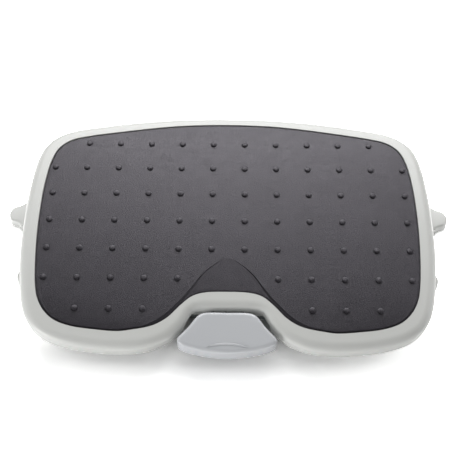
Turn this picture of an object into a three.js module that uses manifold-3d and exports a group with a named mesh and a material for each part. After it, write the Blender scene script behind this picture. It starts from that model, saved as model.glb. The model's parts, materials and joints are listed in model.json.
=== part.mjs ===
// Tilting under desk footrest. Millimetres, X to the right, Y to the back, Z up, floor at zero.
// The platform is drawn in a frame of its own, with its crown at zero, and turned as a group.
// Two parallel pairs of arms lift it level, and it tilts on the shaft at the top of the lift arms.
// A shoe on the platform brakes a sector of the arms and a sector of the carrier; the pedal frees it.
import * as THREE from "three";
import { mergeVertices } from "three/addons/utils/BufferGeometryUtils.js";
import Module from "manifold-3d";

const wasm = await Module();
wasm.setup();

// Fits, in millimetres
const gap = 0.3; // between pieces that seat on each other
const sideGap = 0.5; // between plates that turn side by side
const overrun = 6; // how far a cutter passes what it cuts
const weld = 1e-4; // corners nearer than this are one

// Counts
const roundSides = 16;
const pinSides = 8;
const outlinePoints = 84;
const crownFacets = 10;
const rollSteps = 3;

// Platform
const platformHeight = 76; // crown of the pad above the floor
const platformTilt = 8.42; // degrees, back edge up
const platformShift = -3.2; // crown from the middle of the whole object
const crownRadius = 1393; // front to back curve of the pad
const rimHalfWidth = 252.5;
const rimHalfDepth = 170.2;
const rollWidth = 11;
const rollHeight = 9;
const skirtDepth = 20;
const skirtDraft = 1.5;
const skirtWall = 3;
const plateThickness = 3;
const padThickness = 3.2;
const padEdge = 0.9;
const sideBorder = 19.8; // rim width beside, behind, before and round the notch of the pad
const backBorder = 15.9;
const frontBorder = 25.2;
const notchBorder = 21.5;

// Bumps of the pad
const bumpPitch = 40;
const bumpRadius = 3.6;
const bumpTopRadius = 1.7;
const bumpHeight = 1.9;
const bumpSink = 0.8;
const bumpMargin = 6;
const bumpSides = 6;
const footSides = 12;

// Scoop of the pad above the notch
const scoopLength = 43.5;
const scoopDepth = 1.9;
const scoopHalfWidth = 58.5;
const scoopRunOut = 17.6; // how far its flanks run past the pad's notch edge

// Pedal
const pedalHalfWidth = 58.2;
const pedalDepth = 50.3;
const pedalBackInset = 47.9; // pedal's back edge behind the rim's front
const pedalGap = 4.6;
const pedalSkirt = 18.3;
const pedalWall = 2.6;
const pedalRoll = 3;
const notchFlare = 17.8; // notch mouth past the pedal's widest place
const notchMouthInset = 11.2; // notch mouth behind the rim's front
const lobeShoulder = 16;
const lobeShoulderInset = 4.9;
const lobeCrest = 34;
const lobeCrestInset = 1.8;
const crescentHalfWidth = 21.3;
const crescentSag = 2.8;
const crescentWidth = 3;
const crescentHeight = 1.2;
const crescentInset = 8; // behind the pedal's front

// Pedal pivot and crank
const pivotBehindPedal = 9.5; // from the pedal's back edge towards its front
const pivotDrop = 27;
const crankLength = 10;
const pedalPinRadius = 2.5;
const crankPinRadius = 2;
const ribInnerX = 11;
const ribThickness = 4;
const hubRadius = 6;
const yokeArm = 4;
const yokePlate = 2.5;
const yokePlateDepth = 15;
const yokePlateHalf = 33;
const yokeScrewX = 27;
const yokeBehindNotch = 4;
const yokeSlotHalf = 6;
const yokeSlotDepth = 9;
const yokeSeatDrop = 14.4;
const windowHalf = 57; // where the skirt is cut back round the notch
const windowDrop = 14.5;
const windowReach = 16; // from the notch's back towards its mouth

// Lift linkage
const tiltShaftForward = 25; // from the crown towards the pedal
const tiltShaftDrop = 24; // below the crown
const armLength = 105;
const axleHeight = 16.15; // of the arms' axles above the floor
const carrierLength = 66;
const shaftRadius = 5;
const axleRadius = 6;
const axleBoreRadius = 4.4;
const armThickness = 6;
const armWidth = 14;
const armTopEye = 9;
const armFootEye = 11.5;
const carrierThickness = 6;
const carrierEye = 9;
const carrierWidth = 13;
const bracketThickness = 12;
const bracketHalfDepth = 11;
const bracketFlangeHalf = 25;
const bracketFlange = 3;
const bracketSeatDrop = 13.2;
const bracketScrewSpan = 19;
const bushWall = 1.7;
const bushFlange = 6.4;
const bushFlangeRadius = 10.5;
const shaftEnd = 2;

// Brake
const sectorRadius = 32;
const sectorThickness = 6;
const sectorInnerX = 6;
const sectorHub = 10;
const sectorHubLength = 4;
const sectorMargin = 1; // degrees past the lining at each end of the travel
const liningFrom = 11.5; // degrees below the platform's front, seen from the tilt shaft
const liningTo = 29.7;
const liningSide = 2;
const shoeHalfWidth = 21;
const shoeDrop = 27;
const shoeHeight = 14;
const shoeBackY = -60;
const shoeDepth = 14;
const guideWall = 2.3;
const guideLength = 34;
const guideFlange = 13;
const guideRoofSlot = 17;
const stakeX = 30;
const stakeInset = 7;
const postRadius = 3.5;
const stakeRadius = 2;
const stakeHead = 1.5;
const linkThickness = 2.4;
const linkWidth = 8;
const linkEye = 5;
const linkSlack = 0.5;
const linkSeat = 6;

// Limits of the motion, in degrees
const liftRange = 22.5;
const tiltUp = 8.42;
const tiltDown = 8.5;

// Base
const railInnerX = 195;
const railOuterX = 231;
const railFrontY = -130;
const railEnd = 24; // past the guide axle
const railCorner = 13;
const railHeight = 14;
const railRoll = 3;
const waistX = 239;
const lobeAngles = [-85, -42, 0, 42, 85]; // degrees round a foot lobe, from straight outwards
const frontFootX = 247.5;
const frontFootY = -42;
const rearFootX = 271;
const rearFootY = 60;
const footRadius = 16;
const footLift = 2.3; // base above the floor
const baseWall = 3;
const ribPitch = 44;
const ribWall = 2.4;
const lugThickness = 14;
const lugRadius = 12;
const lugSpread = 24;
const padRadius = 10;
const padSeat = 2;
const padChamfer = 0.8;
const nosePadX = 210;
const nosePadInset = 17;
const tieY = -85;
const tieHalfWidth = 12;
const tieThickness = 3;
const tieBite = 27; // how far the strip reaches under each base side
const tieStakeInset = 11; // from its end
const tieStakeSpread = 6;
const basePoints = 57;
const capRadius = 9;
const capThickness = 3;
const capStem = 6;

// Springs
const assistCoilRadius = 9.4;
const assistWire = 1.3;
const assistCurls = 5;
const assistPitch = 4.2;
const assistLeg = 42;
const collarWidth = 5;
const collarRadius = 11;
const assistStartX = 148;
const brakeCoilRadius = 4.6;
const brakeWire = 0.6;
const brakeCurls = 5;
const brakeSpringX = 13;
const returnCoilRadius = 3.9;
const returnWire = 0.5;
const returnCurls = 4;
const returnPitch = 1.5;
const returnStartX = 3.6;
const returnLeg = 15;
const stepsPerCurl = 8;
const wireSides = 5;

// Screws
const screwShank = 1.9;
const screwHead = 3.6;
const screwHeadHeight = 1.8;
const screwBite = 4;
const bossRadius = 5;

// Places that follow from the sizes above
const radians = THREE.MathUtils.degToRad;
const padRecess = padThickness + gap;
const plateUnderside = padRecess + plateThickness;
const notchHalf = pedalHalfWidth + notchFlare;
const pedalBackY = -rimHalfDepth + pedalBackInset;
const notchBackY = pedalBackY + pedalGap;
const padHalfWidth = rimHalfWidth - sideBorder;
const padBackY = rimHalfDepth - backBorder;
const padFrontY = -(rimHalfDepth - frontBorder);
const padNotchY = notchBackY + notchBorder;
const pivotY = pedalBackY - pivotBehindPedal;
const crankDrop = pivotDrop - crankLength;
const armOuterX = railInnerX - gap - bushFlange - gap;
const armInnerX = armOuterX - armThickness;
const carrierOuterX = armInnerX - sideGap;
const carrierInnerX = carrierOuterX - carrierThickness;
const bracketOuterX = carrierInnerX - sideGap;
const bracketInnerX = bracketOuterX - bracketThickness;
const shaftHalf = armOuterX + shaftEnd;
const axleHalf = railInnerX + lugThickness;
const bushRadius = axleRadius + gap + bushWall;
const reach = platformHeight; // how far a cutter passes a curved sheet
const tieHalfLength = railInnerX + tieBite;
const tieStakeX = tieHalfLength - tieStakeInset;

// A point of the platform's frame, as [y, z] of the whole object.
function platformPoint(y, z) {
  const turn = radians(platformTilt);
  return [
    platformShift + y * Math.cos(turn) - z * Math.sin(turn),
    platformHeight + y * Math.sin(turn) + z * Math.cos(turn),
  ];
}
const [tiltShaftY, tiltShaftZ] = platformPoint(-tiltShaftForward, -tiltShaftDrop);
const armRise = tiltShaftZ - axleHeight;
const armRun = Math.sqrt(armLength ** 2 - armRise ** 2);
const liftAxleY = tiltShaftY + armRun;
const upperRodY = tiltShaftY + carrierLength;
const guideAxleY = liftAxleY + carrierLength;
const railRearY = guideAxleY + railEnd;

// Solids: three.js geometry in, joined and cut as closed bodies, and geometry out again.
function solidOf(geometry) {
  const bare = geometry.clone();
  bare.deleteAttribute("normal");
  bare.deleteAttribute("uv");
  const merged = mergeVertices(bare, weld);
  return new wasm.Manifold(
    new wasm.Mesh({
      numProp: 3,
      vertProperties: new Float32Array(merged.attributes.position.array),
      triVerts: new Uint32Array(merged.index.array),
    }),
  );
}

function geometryOf(solid) {
  const mesh = solid.getMesh();
  const geometry = new THREE.BufferGeometry();
  geometry.setAttribute("position", new THREE.BufferAttribute(mesh.vertProperties, mesh.numProp));
  geometry.setIndex(new THREE.BufferAttribute(mesh.triVerts, 1));
  geometry.computeVertexNormals();
  return geometry;
}

function join(first, ...others) {
  return others.reduce((whole, other) => whole.add(other), first);
}

function cut(first, ...others) {
  return others.reduce((whole, other) => whole.subtract(other), first);
}

function box(x0, x1, y0, y1, z0, z1) {
  const geometry = new THREE.BoxGeometry(Math.abs(x1 - x0), Math.abs(y1 - y0), Math.abs(z1 - z0));
  geometry.translate((x0 + x1) / 2, (y0 + y1) / 2, (z0 + z1) / 2);
  return solidOf(geometry);
}

// A round bar along X between two ends.
function bar(radius, x0, x1, y, z, sides = roundSides) {
  const geometry = new THREE.CylinderGeometry(radius, radius, Math.abs(x1 - x0), sides);
  geometry.rotateZ(Math.PI / 2);
  geometry.translate((x0 + x1) / 2, y, z);
  return solidOf(geometry);
}

// An upright round post between two heights, with its own top radius if it tapers.
function post(radius, x, y, z0, z1, sides = roundSides, topRadius = radius) {
  const geometry = new THREE.CylinderGeometry(topRadius, radius, Math.abs(z1 - z0), sides);
  geometry.rotateX(Math.PI / 2);
  geometry.translate(x, y, (z0 + z1) / 2);
  return solidOf(geometry);
}

// The radius at which a hole's flats clear a round bar by the fit.
function clearing(radius, sides = roundSides) {
  return (radius + gap) / Math.cos(Math.PI / sides);
}

function shapeOf(points) {
  return new THREE.Shape(points.map(([a, b]) => new THREE.Vector2(a, b)));
}

// A flat outline in X and Y, raised from z0 to z1.
function upright(points, z0, z1) {
  const geometry = new THREE.ExtrudeGeometry(shapeOf(points), {
    depth: z1 - z0,
    bevelEnabled: false,
  });
  geometry.translate(0, 0, z0);
  return solidOf(geometry);
}

// A flat outline in Y and Z, drawn out along X from x0 to x1.
function sideways(points, x0, x1) {
  const geometry = new THREE.ExtrudeGeometry(shapeOf(points), {
    depth: Math.abs(x1 - x0),
    bevelEnabled: false,
  });
  const turn = new THREE.Matrix4().makeBasis(
    new THREE.Vector3(0, 1, 0),
    new THREE.Vector3(0, 0, 1),
    new THREE.Vector3(1, 0, 0),
  );
  geometry.applyMatrix4(turn);
  geometry.translate(Math.min(x0, x1), 0, 0);
  return solidOf(geometry);
}

// The points of an arc round a centre, from one angle to another in degrees.
function arcPoints(y, z, radius, from, to, steps) {
  const points = [];
  for (let i = 0; i <= steps; i += 1) {
    const angle = radians(from + ((to - from) * i) / steps);
    points.push([y + radius * Math.cos(angle), z + radius * Math.sin(angle)]);
  }
  return points;
}

// A flat bar with round ends between two pivots in Y and Z, drawn out along X.
function linkPlate(y0, z0, radius0, y1, z1, radius1, width, x0, x1) {
  const length = Math.hypot(y1 - y0, z1 - z0);
  const across = [(-(z1 - z0) / length) * (width / 2), ((y1 - y0) / length) * (width / 2)];
  const web = sideways(
    [
      [y0 + across[0], z0 + across[1]],
      [y0 - across[0], z0 - across[1]],
      [y1 - across[0], z1 - across[1]],
      [y1 + across[0], z1 + across[1]],
    ],
    x0,
    x1,
  );
  return join(web, bar(radius0, x0, x1, y0, z0), bar(radius1, x0, x1, y1, z1));
}

// A closed smooth outline through a few points, finer where they lie closer, counter-clockwise.
function smooth(points, count) {
  const curve = new THREE.CatmullRomCurve3(
    points.map(([x, y]) => new THREE.Vector3(x, y, 0)),
    true,
    "centripetal",
  );
  const sampled = curve.getPoints(count).slice(0, count);
  const outline = sampled.map((point) => [point.x, point.y]);
  return signedArea(outline) < 0 ? outline.reverse() : outline;
}

function signedArea(outline) {
  return outline.reduce((sum, [x, y], i) => {
    const [nextX, nextY] = outline[(i + 1) % outline.length];
    return sum + (x * nextY - nextX * y) / 2;
  }, 0);
}

// A counter-clockwise outline moved inwards.
function inset(outline, distance) {
  const count = outline.length;
  return outline.map(([x, y], i) => {
    const before = outline[(i + count - 1) % count];
    const after = outline[(i + 1) % count];
    const length = Math.hypot(after[0] - before[0], after[1] - before[1]);
    return [
      x - ((after[1] - before[1]) / length) * distance,
      y + ((after[0] - before[0]) / length) * distance,
    ];
  });
}

// The whole outline of a half that runs from the back centre to the front centre.
function mirrored(half) {
  const other = half.filter(([x]) => x > 0).map(([x, y]) => [-x, y]);
  return [...half, ...other.reverse()];
}

// A closed body from rings of an outline, lowest first, each an inset and a height over each point.
function loft(outline, rings) {
  const positions = [];
  const faces = [];
  const count = outline.length;
  rings.forEach(([step, height]) => {
    inset(outline, step).forEach(([x, y]) => positions.push(x, y, height(y)));
  });
  for (let ring = 0; ring < rings.length - 1; ring += 1) {
    for (let i = 0; i < count; i += 1) {
      const a = ring * count + i;
      const b = ring * count + ((i + 1) % count);
      faces.push(a, b, b + count, a, b + count, a + count);
    }
  }
  const capOf = (step) =>
    THREE.ShapeUtils.triangulateShape(
      inset(outline, step).map(([x, y]) => new THREE.Vector2(x, y)),
      [],
    );
  const last = (rings.length - 1) * count;
  capOf(rings[0][0]).forEach(([a, b, c]) => faces.push(a, c, b));
  capOf(rings[rings.length - 1][0]).forEach(([a, b, c]) => faces.push(last + a, last + b, last + c));
  const geometry = new THREE.BufferGeometry();
  geometry.setAttribute("position", new THREE.Float32BufferAttribute(positions, 3));
  geometry.setIndex(faces);
  return solidOf(geometry);
}

// Height of the crowned surface at a place from front to back.
function crown(y) {
  return Math.sqrt(crownRadius ** 2 - y ** 2) - crownRadius;
}

// A crowned sheet between two depths under the surface, wider and deeper than the platform.
function crownedSheet(top, bottom) {
  const far = rimHalfDepth + overrun;
  const profile = [];
  for (let i = 0; i <= crownFacets; i += 1) {
    const y = -far + (2 * far * i) / crownFacets;
    profile.push([y, crown(y) - bottom]);
  }
  for (let i = crownFacets; i >= 0; i -= 1) {
    const y = -far + (2 * far * i) / crownFacets;
    profile.push([y, crown(y) - top]);
  }
  const side = rimHalfWidth + overrun;
  return sideways(profile, -side, side);
}

// Rings of a body whose top edge is rolled over, from far below its lower edge to far above it.
function rolledRings(width, height, draft, depth) {
  const rings = [
    [draft, (y) => crown(y) - depth - overrun],
    [0, (y) => crown(y) - height],
  ];
  for (let i = 1; i <= rollSteps; i += 1) {
    const angle = ((Math.PI / 2) * i) / rollSteps;
    rings.push([
      width * (1 - Math.cos(angle)),
      (y) => crown(y) - height * (1 - Math.sin(angle)),
    ]);
  }
  rings.push([width, (y) => crown(y) + reach]);
  return rings;
}

// Shares of the rim's half width and half depth, from the back centre to the front lobe.
const rimShares = [
  [0, 1],
  [0.238, 0.989],
  [0.475, 0.952],
  [0.681, 0.898],
  [0.804, 0.855],
  [0.879, 0.799],
  [0.935, 0.711],
  [0.968, 0.576],
  [0.99, 0.323],
  [1, 0],
  [0.999, -0.264],
  [0.986, -0.482],
  [0.97, -0.635],
  [0.948, -0.74],
  [0.908, -0.832],
  [0.848, -0.9],
  [0.768, -0.946],
  [0.66, -0.977],
  [0.535, -0.993],
];

// Shares of the notch's half width and of its depth from mouth to back.
const notchShares = [
  [1, 1],
  [0.868, 0.862],
  [0.77, 0.685],
  [0.691, 0.523],
  [0.642, 0.395],
  [0.603, 0.254],
  [0.542, 0.08],
  [0.447, 0.017],
  [0.289, 0.005],
];

function rimOutline() {
  const mouthY = -rimHalfDepth + notchMouthInset;
  const notchDepth = mouthY - notchBackY;
  const half = [
    ...rimShares.map(([across, along]) => [across * rimHalfWidth, along * rimHalfDepth]),
    [notchHalf + lobeCrest, -rimHalfDepth + lobeCrestInset],
    [notchHalf + lobeShoulder, -rimHalfDepth + lobeShoulderInset],
    ...notchShares.map(([across, along]) => [across * notchHalf, notchBackY + along * notchDepth]),
    [0, notchBackY],
  ];
  return smooth(mirrored(half), outlinePoints);
}

// Shares of the pad's half width and back depth, from the back centre to the front lobe.
const padShares = [
  [0, 1],
  [0.258, 0.984],
  [0.43, 0.951],
  [0.645, 0.896],
  [0.774, 0.858],
  [0.873, 0.812],
  [0.935, 0.728],
  [0.967, 0.606],
  [0.99, 0.369],
  [1, 0],
  [0.995, -0.324],
  [0.98, -0.583],
  [0.963, -0.693],
  [0.929, -0.788],
  [0.874, -0.866],
  [0.79, -0.915],
  [0.666, -0.942],
  [0.546, -0.954],
];

// Shares of the notch's half width, and of the pad's depth from its notch edge to its front.
const padNotchShares = [
  [1.448, 0.996],
  [1.276, 0.947],
  [1.106, 0.861],
  [0.921, 0.674],
  [0.742, 0.377],
  [0.559, 0.127],
  [0.369, 0.027],
];

function padOutline() {
  const depth = padFrontY - padNotchY;
  const half = [
    ...padShares.map(([across, along]) => [across * padHalfWidth, along * padBackY]),
    ...padNotchShares.map(([across, along]) => [across * notchHalf, padNotchY + along * depth]),
    [0, padNotchY],
  ];
  return smooth(mirrored(half), outlinePoints);
}

// Shares of the scoop's half width, and of its way from the apex to where its flanks end.
const scoopShares = [
  [0, 0],
  [0.108, 0.021],
  [0.222, 0.095],
  [0.427, 0.267],
  [0.564, 0.422],
  [0.701, 0.627],
  [0.803, 0.766],
  [0.872, 0.856],
  [1, 1],
];

function scoopOutline() {
  const apexY = padNotchY + scoopLength;
  const length = scoopLength + scoopRunOut;
  const half = scoopShares.map(([across, along]) => [
    across * scoopHalfWidth,
    apexY - along * length,
  ]);
  const flank = [...half].reverse().map(([x, y]) => [-x, y]);
  const endY = apexY - length - overrun;
  return [...flank.slice(0, -1), ...half, [scoopHalfWidth, endY], [-scoopHalfWidth, endY]];
}

// Shares of the pedal's half width, and of its depth from its back edge.
const pedalShares = [
  [0, 0],
  [0.4, 0],
  [0.52, 0.03],
  [0.6, 0.088],
  [0.667, 0.18],
  [0.75, 0.315],
  [0.85, 0.45],
  [0.93, 0.545],
  [0.985, 0.62],
  [1, 0.68],
  [0.985, 0.745],
  [0.923, 0.807],
  [0.786, 0.868],
  [0.53, 0.938],
  [0.256, 0.985],
  [0, 1],
];

function pedalOutline() {
  const half = pedalShares.map(([across, along]) => [
    across * pedalHalfWidth,
    pedalBackY - along * pedalDepth,
  ]);
  return smooth(mirrored(half), outlinePoints / 2);
}

function inside(outline, x, y) {
  let within = false;
  outline.forEach(([x0, y0], i) => {
    const [x1, y1] = outline[(i + 1) % outline.length];
    if (y0 > y !== y1 > y && x < x0 + ((y - y0) * (x1 - x0)) / (y1 - y0)) within = !within;
  });
  return within;
}

// A boss under the platform's plate, with a blind hole for a screw's bite.
function screwBoss(x, y, seatDrop) {
  const top = crown(y) - padRecess - plateThickness / 2;
  return post(bossRadius, x, y, -seatDrop, top, pinSides);
}

function screwHole(x, y, seatDrop) {
  return post(clearing(screwShank, pinSides), x, y, -seatDrop - overrun, -seatDrop + screwBite, pinSides);
}

function bracketScrewPlaces(side) {
  const x = (side * (bracketInnerX + bracketOuterX)) / 2;
  return [-1, 1].map((end) => [x, -tiltShaftForward + end * bracketScrewSpan]);
}

const yokeScrewPlaces = [-1, 1].map((side) => [
  side * yokeScrewX,
  notchBackY + yokeBehindNotch + yokePlateDepth / 2,
]);

// The guide housing of the brake shoe, between its back and front ends.
const guideFrontY = shoeBackY - guideLength;
const guideTop = -shoeDrop + gap + guideWall;
const guideBottom = -shoeDrop - shoeHeight - gap - guideWall;
const stakePlaces = [-1, 1].flatMap((side) => [
  [side * stakeX, shoeBackY - stakeInset],
  [side * stakeX, guideFrontY + stakeInset],
]);

function platformShell() {
  const outline = rimOutline();
  const outer = loft(outline, rolledRings(rollWidth, rollHeight, skirtDraft, skirtDepth))
    .intersect(crownedSheet(0, skirtDepth));
  const recess = upright(inset(padOutline(), -gap), -reach, reach)
    .intersect(crownedSheet(-reach, padRecess));
  const hollow = upright(inset(outline, skirtWall + skirtDraft), -reach, reach)
    .intersect(crownedSheet(plateUnderside, reach));
  const window = box(
    -windowHalf,
    windowHalf,
    notchBackY - windowReach,
    notchBackY + skirtWall + skirtDraft + overrun,
    -reach,
    -windowDrop,
  );
  const tray = cut(outer, recess, hollow, window);
  const brackets = [-1, 1].flatMap(bracketScrewPlaces);
  const bosses = [
    ...brackets.map(([x, y]) => screwBoss(x, y, bracketSeatDrop)),
    ...yokeScrewPlaces.map(([x, y]) => screwBoss(x, y, yokeSeatDrop)),
    ...stakePlaces.map(([x, y]) =>
      join(
        post(postRadius, x, y, guideTop + gap, crown(y) - padRecess - plateThickness / 2, pinSides),
        post(stakeRadius, x, y, guideTop - guideWall - stakeHead, guideTop + gap, pinSides),
      ),
    ),
  ];
  const holes = [
    ...brackets.map(([x, y]) => screwHole(x, y, bracketSeatDrop)),
    ...yokeScrewPlaces.map(([x, y]) => screwHole(x, y, yokeSeatDrop)),
  ];
  return cut(join(tray, ...bosses), ...holes);
}

function footPad() {
  const outline = padOutline();
  const edged = loft(outline, [
    [0, (y) => crown(y) - reach],
    [0, (y) => crown(y) - padEdge],
    [padEdge, crown],
    [padEdge, (y) => crown(y) + reach],
  ]);
  const sheet = edged.intersect(crownedSheet(0, padThickness));
  const apexY = padNotchY + scoopLength;
  const slope = (crown(padNotchY) - scoopDepth - crown(apexY)) / -scoopLength;
  const farY = apexY - 2 * scoopLength;
  const wedge = sideways(
    [
      [apexY, crown(apexY)],
      [farY, crown(apexY) + (farY - apexY) * slope],
      [farY, reach],
      [apexY, reach],
    ],
    -scoopHalfWidth,
    scoopHalfWidth,
  );
  const bell = scoopOutline();
  const scoop = upright(bell, -reach, reach).intersect(wedge);
  const columns = Math.ceil(padHalfWidth / bumpPitch);
  const rows = Math.ceil(padBackY / bumpPitch);
  const field = inset(outline, bumpMargin);
  const bumps = [];
  for (let row = -rows; row <= rows; row += 1) {
    for (let column = -columns; column < columns; column += 1) {
      const x = (column + 1 / 2) * bumpPitch;
      const y = crownRadius * Math.sin((row * bumpPitch) / crownRadius);
      const base = crown(y);
      if (inside(field, x, y) && !inside(bell, x, y)) {
        bumps.push(
          post(bumpRadius, x, y, base - bumpSink, base + bumpHeight, bumpSides, bumpTopRadius),
        );
      }
    }
  }
  return join(cut(sheet, scoop), ...bumps);
}

// The crescent ridge near the pedal's front edge, between two flat arcs.
function crescent() {
  const y = pedalBackY - pedalDepth + crescentInset;
  const steps = stepsPerCurl;
  const bow = (i, sag) => {
    const across = -1 + (2 * i) / steps;
    return [across * crescentHalfWidth, y + sag * (1 - across ** 2)];
  };
  const near = [];
  const far = [];
  for (let i = 0; i <= steps; i += 1) {
    far.push(bow(i, crescentSag + crescentWidth / 2));
    if (i > 0 && i < steps) near.unshift(bow(i, crescentSag - crescentWidth / 2));
  }
  return upright([...far, ...near], crown(y) - pedalWall / 2, crown(y) + crescentHeight);
}

function pedal() {
  const outline = pedalOutline();
  const outer = loft(outline, rolledRings(pedalRoll, pedalRoll, 0, pedalSkirt))
    .intersect(crownedSheet(0, pedalSkirt));
  const hollow = upright(inset(outline, pedalWall), -reach, reach)
    .intersect(crownedSheet(pedalWall, reach));
  const doorHalf = ribInnerX + ribThickness + sideGap + yokeArm + overrun;
  const door = box(
    -doorHalf,
    doorHalf,
    pedalBackY - pedalWall - overrun / 2,
    pedalBackY + overrun,
    -reach,
    -windowDrop,
  );
  const ribs = [-1, 1].map((side) => {
    const near = side * ribInnerX;
    const far = side * (ribInnerX + ribThickness);
    const cheek = sideways(
      [
        [pivotY - hubRadius, -pivotDrop],
        [pivotY + hubRadius, -pivotDrop],
        [pivotY + hubRadius, crown(pivotY) - pedalWall / 2],
        [pivotY - hubRadius - overrun, crown(pivotY - hubRadius) - pedalWall / 2],
      ],
      near,
      far,
    );
    return join(cheek, bar(hubRadius, near, far, pivotY, -pivotDrop));
  });
  const pinHole = bar(
    clearing(pedalPinRadius, pinSides),
    -doorHalf,
    doorHalf,
    pivotY,
    -pivotDrop,
    pinSides,
  );
  const crankHole = bar(
    clearing(crankPinRadius, pinSides),
    -doorHalf,
    doorHalf,
    pivotY,
    -crankDrop,
    pinSides,
  );
  return cut(join(cut(outer, hollow, door), ...ribs, crescent()), pinHole, crankHole);
}

function pedalYoke() {
  const backY = notchBackY + yokeBehindNotch + yokePlateDepth;
  const frontY = notchBackY + yokeBehindNotch;
  const top = -yokeSeatDrop - gap;
  const plate = box(-yokePlateHalf, yokePlateHalf, frontY, backY, top - yokePlate, top);
  const arms = [-1, 1].map((side) => {
    const near = side * (ribInnerX + ribThickness + sideGap);
    const far = near + side * yokeArm;
    const web = sideways(
      [
        [pivotY, -pivotDrop - hubRadius],
        [backY, top - yokePlate],
        [backY, top],
        [frontY, top],
        [pivotY, -pivotDrop + hubRadius],
      ],
      near,
      far,
    );
    return join(web, bar(hubRadius, near, far, pivotY, -pivotDrop));
  });
  const end = yokePlateHalf;
  const pinHole = bar(clearing(pedalPinRadius, pinSides), -end, end, pivotY, -pivotDrop, pinSides);
  const screwHoles = yokeScrewPlaces.map(([x, y]) =>
    post(clearing(screwShank, pinSides), x, y, top - yokePlate - overrun, top + overrun, pinSides),
  );
  const linkWay = box(
    -yokeSlotHalf,
    yokeSlotHalf,
    frontY - overrun,
    frontY + yokeSlotDepth,
    top - yokePlate - overrun,
    top + overrun,
  );
  return cut(join(plate, ...arms), linkWay, pinHole, ...screwHoles);
}

function hingeBracket(side) {
  const near = side * bracketInnerX;
  const far = side * bracketOuterX;
  const top = -bracketSeatDrop - gap;
  const flange = box(
    near,
    far,
    -tiltShaftForward - bracketFlangeHalf,
    -tiltShaftForward + bracketFlangeHalf,
    top - bracketFlange,
    top,
  );
  const cheek = box(
    near,
    far,
    -tiltShaftForward - bracketHalfDepth,
    -tiltShaftForward + bracketHalfDepth,
    -tiltShaftDrop,
    top,
  );
  const eye = bar(bracketHalfDepth, near, far, -tiltShaftForward, -tiltShaftDrop);
  const hole = bar(
    clearing(shaftRadius),
    side * (bracketInnerX - overrun),
    side * (bracketOuterX + overrun),
    -tiltShaftForward,
    -tiltShaftDrop,
  );
  const screwHoles = bracketScrewPlaces(side).map(([x, y]) =>
    post(clearing(screwShank, pinSides), x, y, top - bracketFlange - overrun, top + overrun, pinSides),
  );
  return cut(join(flange, cheek, eye), hole, ...screwHoles);
}

// A screw that holds a flange up against its boss: head below, shank in the boss.
function screw(x, y, seatDrop, flange) {
  const seat = -seatDrop - gap - flange - gap;
  return join(
    post(screwHead, x, y, seat - screwHeadHeight, seat, pinSides),
    post(screwShank, x, y, seat, -seatDrop + screwBite - gap, pinSides),
  );
}

function brakeGuide() {
  const side = shoeHalfWidth + gap + guideWall;
  const shell = box(-side, side, guideFrontY, shoeBackY, guideBottom, guideTop);
  const flangeSide = side + guideFlange;
  const flange = box(
    -flangeSide,
    flangeSide,
    guideFrontY,
    shoeBackY,
    guideTop - guideWall,
    guideTop,
  );
  const tunnel = box(
    -shoeHalfWidth - gap,
    shoeHalfWidth + gap,
    guideFrontY + guideWall,
    shoeBackY + overrun,
    guideBottom + guideWall,
    guideTop - guideWall,
  );
  const slot = box(
    -linkThickness,
    linkThickness,
    guideFrontY - overrun,
    guideFrontY + guideWall + gap,
    guideBottom + guideWall,
    guideTop + overrun,
  );
  const roofSlot = box(
    -linkThickness,
    linkThickness,
    guideFrontY - overrun,
    guideFrontY + guideRoofSlot,
    guideTop - guideWall - gap,
    guideTop + overrun,
  );
  const holes = stakePlaces.map(([x, y]) =>
    post(clearing(stakeRadius, pinSides), x, y, guideBottom, guideTop + overrun, pinSides),
  );
  return cut(join(shell, flange), tunnel, slot, roofSlot, ...holes);
}

function brakeShoe() {
  const frontY = shoeBackY - shoeDepth;
  const block = box(
    -shoeHalfWidth,
    shoeHalfWidth,
    frontY,
    shoeBackY,
    -shoeDrop - shoeHeight,
    -shoeDrop,
  );
  const slot = box(
    -linkThickness / 2 - gap,
    linkThickness / 2 + gap,
    frontY - overrun,
    frontY + linkSeat + gap,
    -shoeDrop - shoeHeight - overrun,
    -shoeDrop + overrun,
  );
  return cut(block, slot);
}

// A lining on the shoe, hollowed to the sector's round edge.
function lining(side) {
  const low = -tiltShaftDrop - sectorRadius * Math.sin(radians(liningTo));
  const high = -tiltShaftDrop - sectorRadius * Math.sin(radians(liningFrom));
  const near = side * (sectorInnerX - liningSide);
  const far = side * (sectorInnerX + sectorThickness + liningSide);
  const block = box(near, far, shoeBackY + gap, -tiltShaftForward, low, high);
  const round = bar(
    (sectorRadius + gap) / Math.cos(Math.PI / outlinePoints),
    side * (sectorInnerX - liningSide - overrun),
    side * (sectorInnerX + sectorThickness + liningSide + overrun),
    -tiltShaftForward,
    -tiltShaftDrop,
    outlinePoints,
  );
  return cut(block, round);
}

function pullLink() {
  const shoeY = shoeBackY - shoeDepth + linkSeat;
  const shoeZ = -shoeDrop - shoeHeight / 2;
  const half = linkThickness / 2;
  const strap = linkPlate(
    shoeY - linkWidth / 2,
    shoeZ,
    linkWidth / 2,
    pivotY,
    -crankDrop,
    linkEye,
    linkWidth,
    -half,
    half,
  );
  const eye = clearing(crankPinRadius, pinSides);
  const slot = box(
    -linkThickness,
    linkThickness,
    pivotY - eye,
    pivotY + eye,
    -crankDrop - linkSlack,
    -crankDrop + linkSlack,
  );
  const ends = [-1, 1].map((end) =>
    bar(eye, -linkThickness, linkThickness, pivotY, -crankDrop + end * linkSlack, pinSides),
  );
  return cut(strap, slot, ...ends);
}

// Degrees that a sector's edge covers below level towards the front, seen from the tilt shaft.
const worldFrom = liningFrom + platformTilt - tiltUp;
const worldTo = liningTo + platformTilt + tiltDown;

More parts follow.
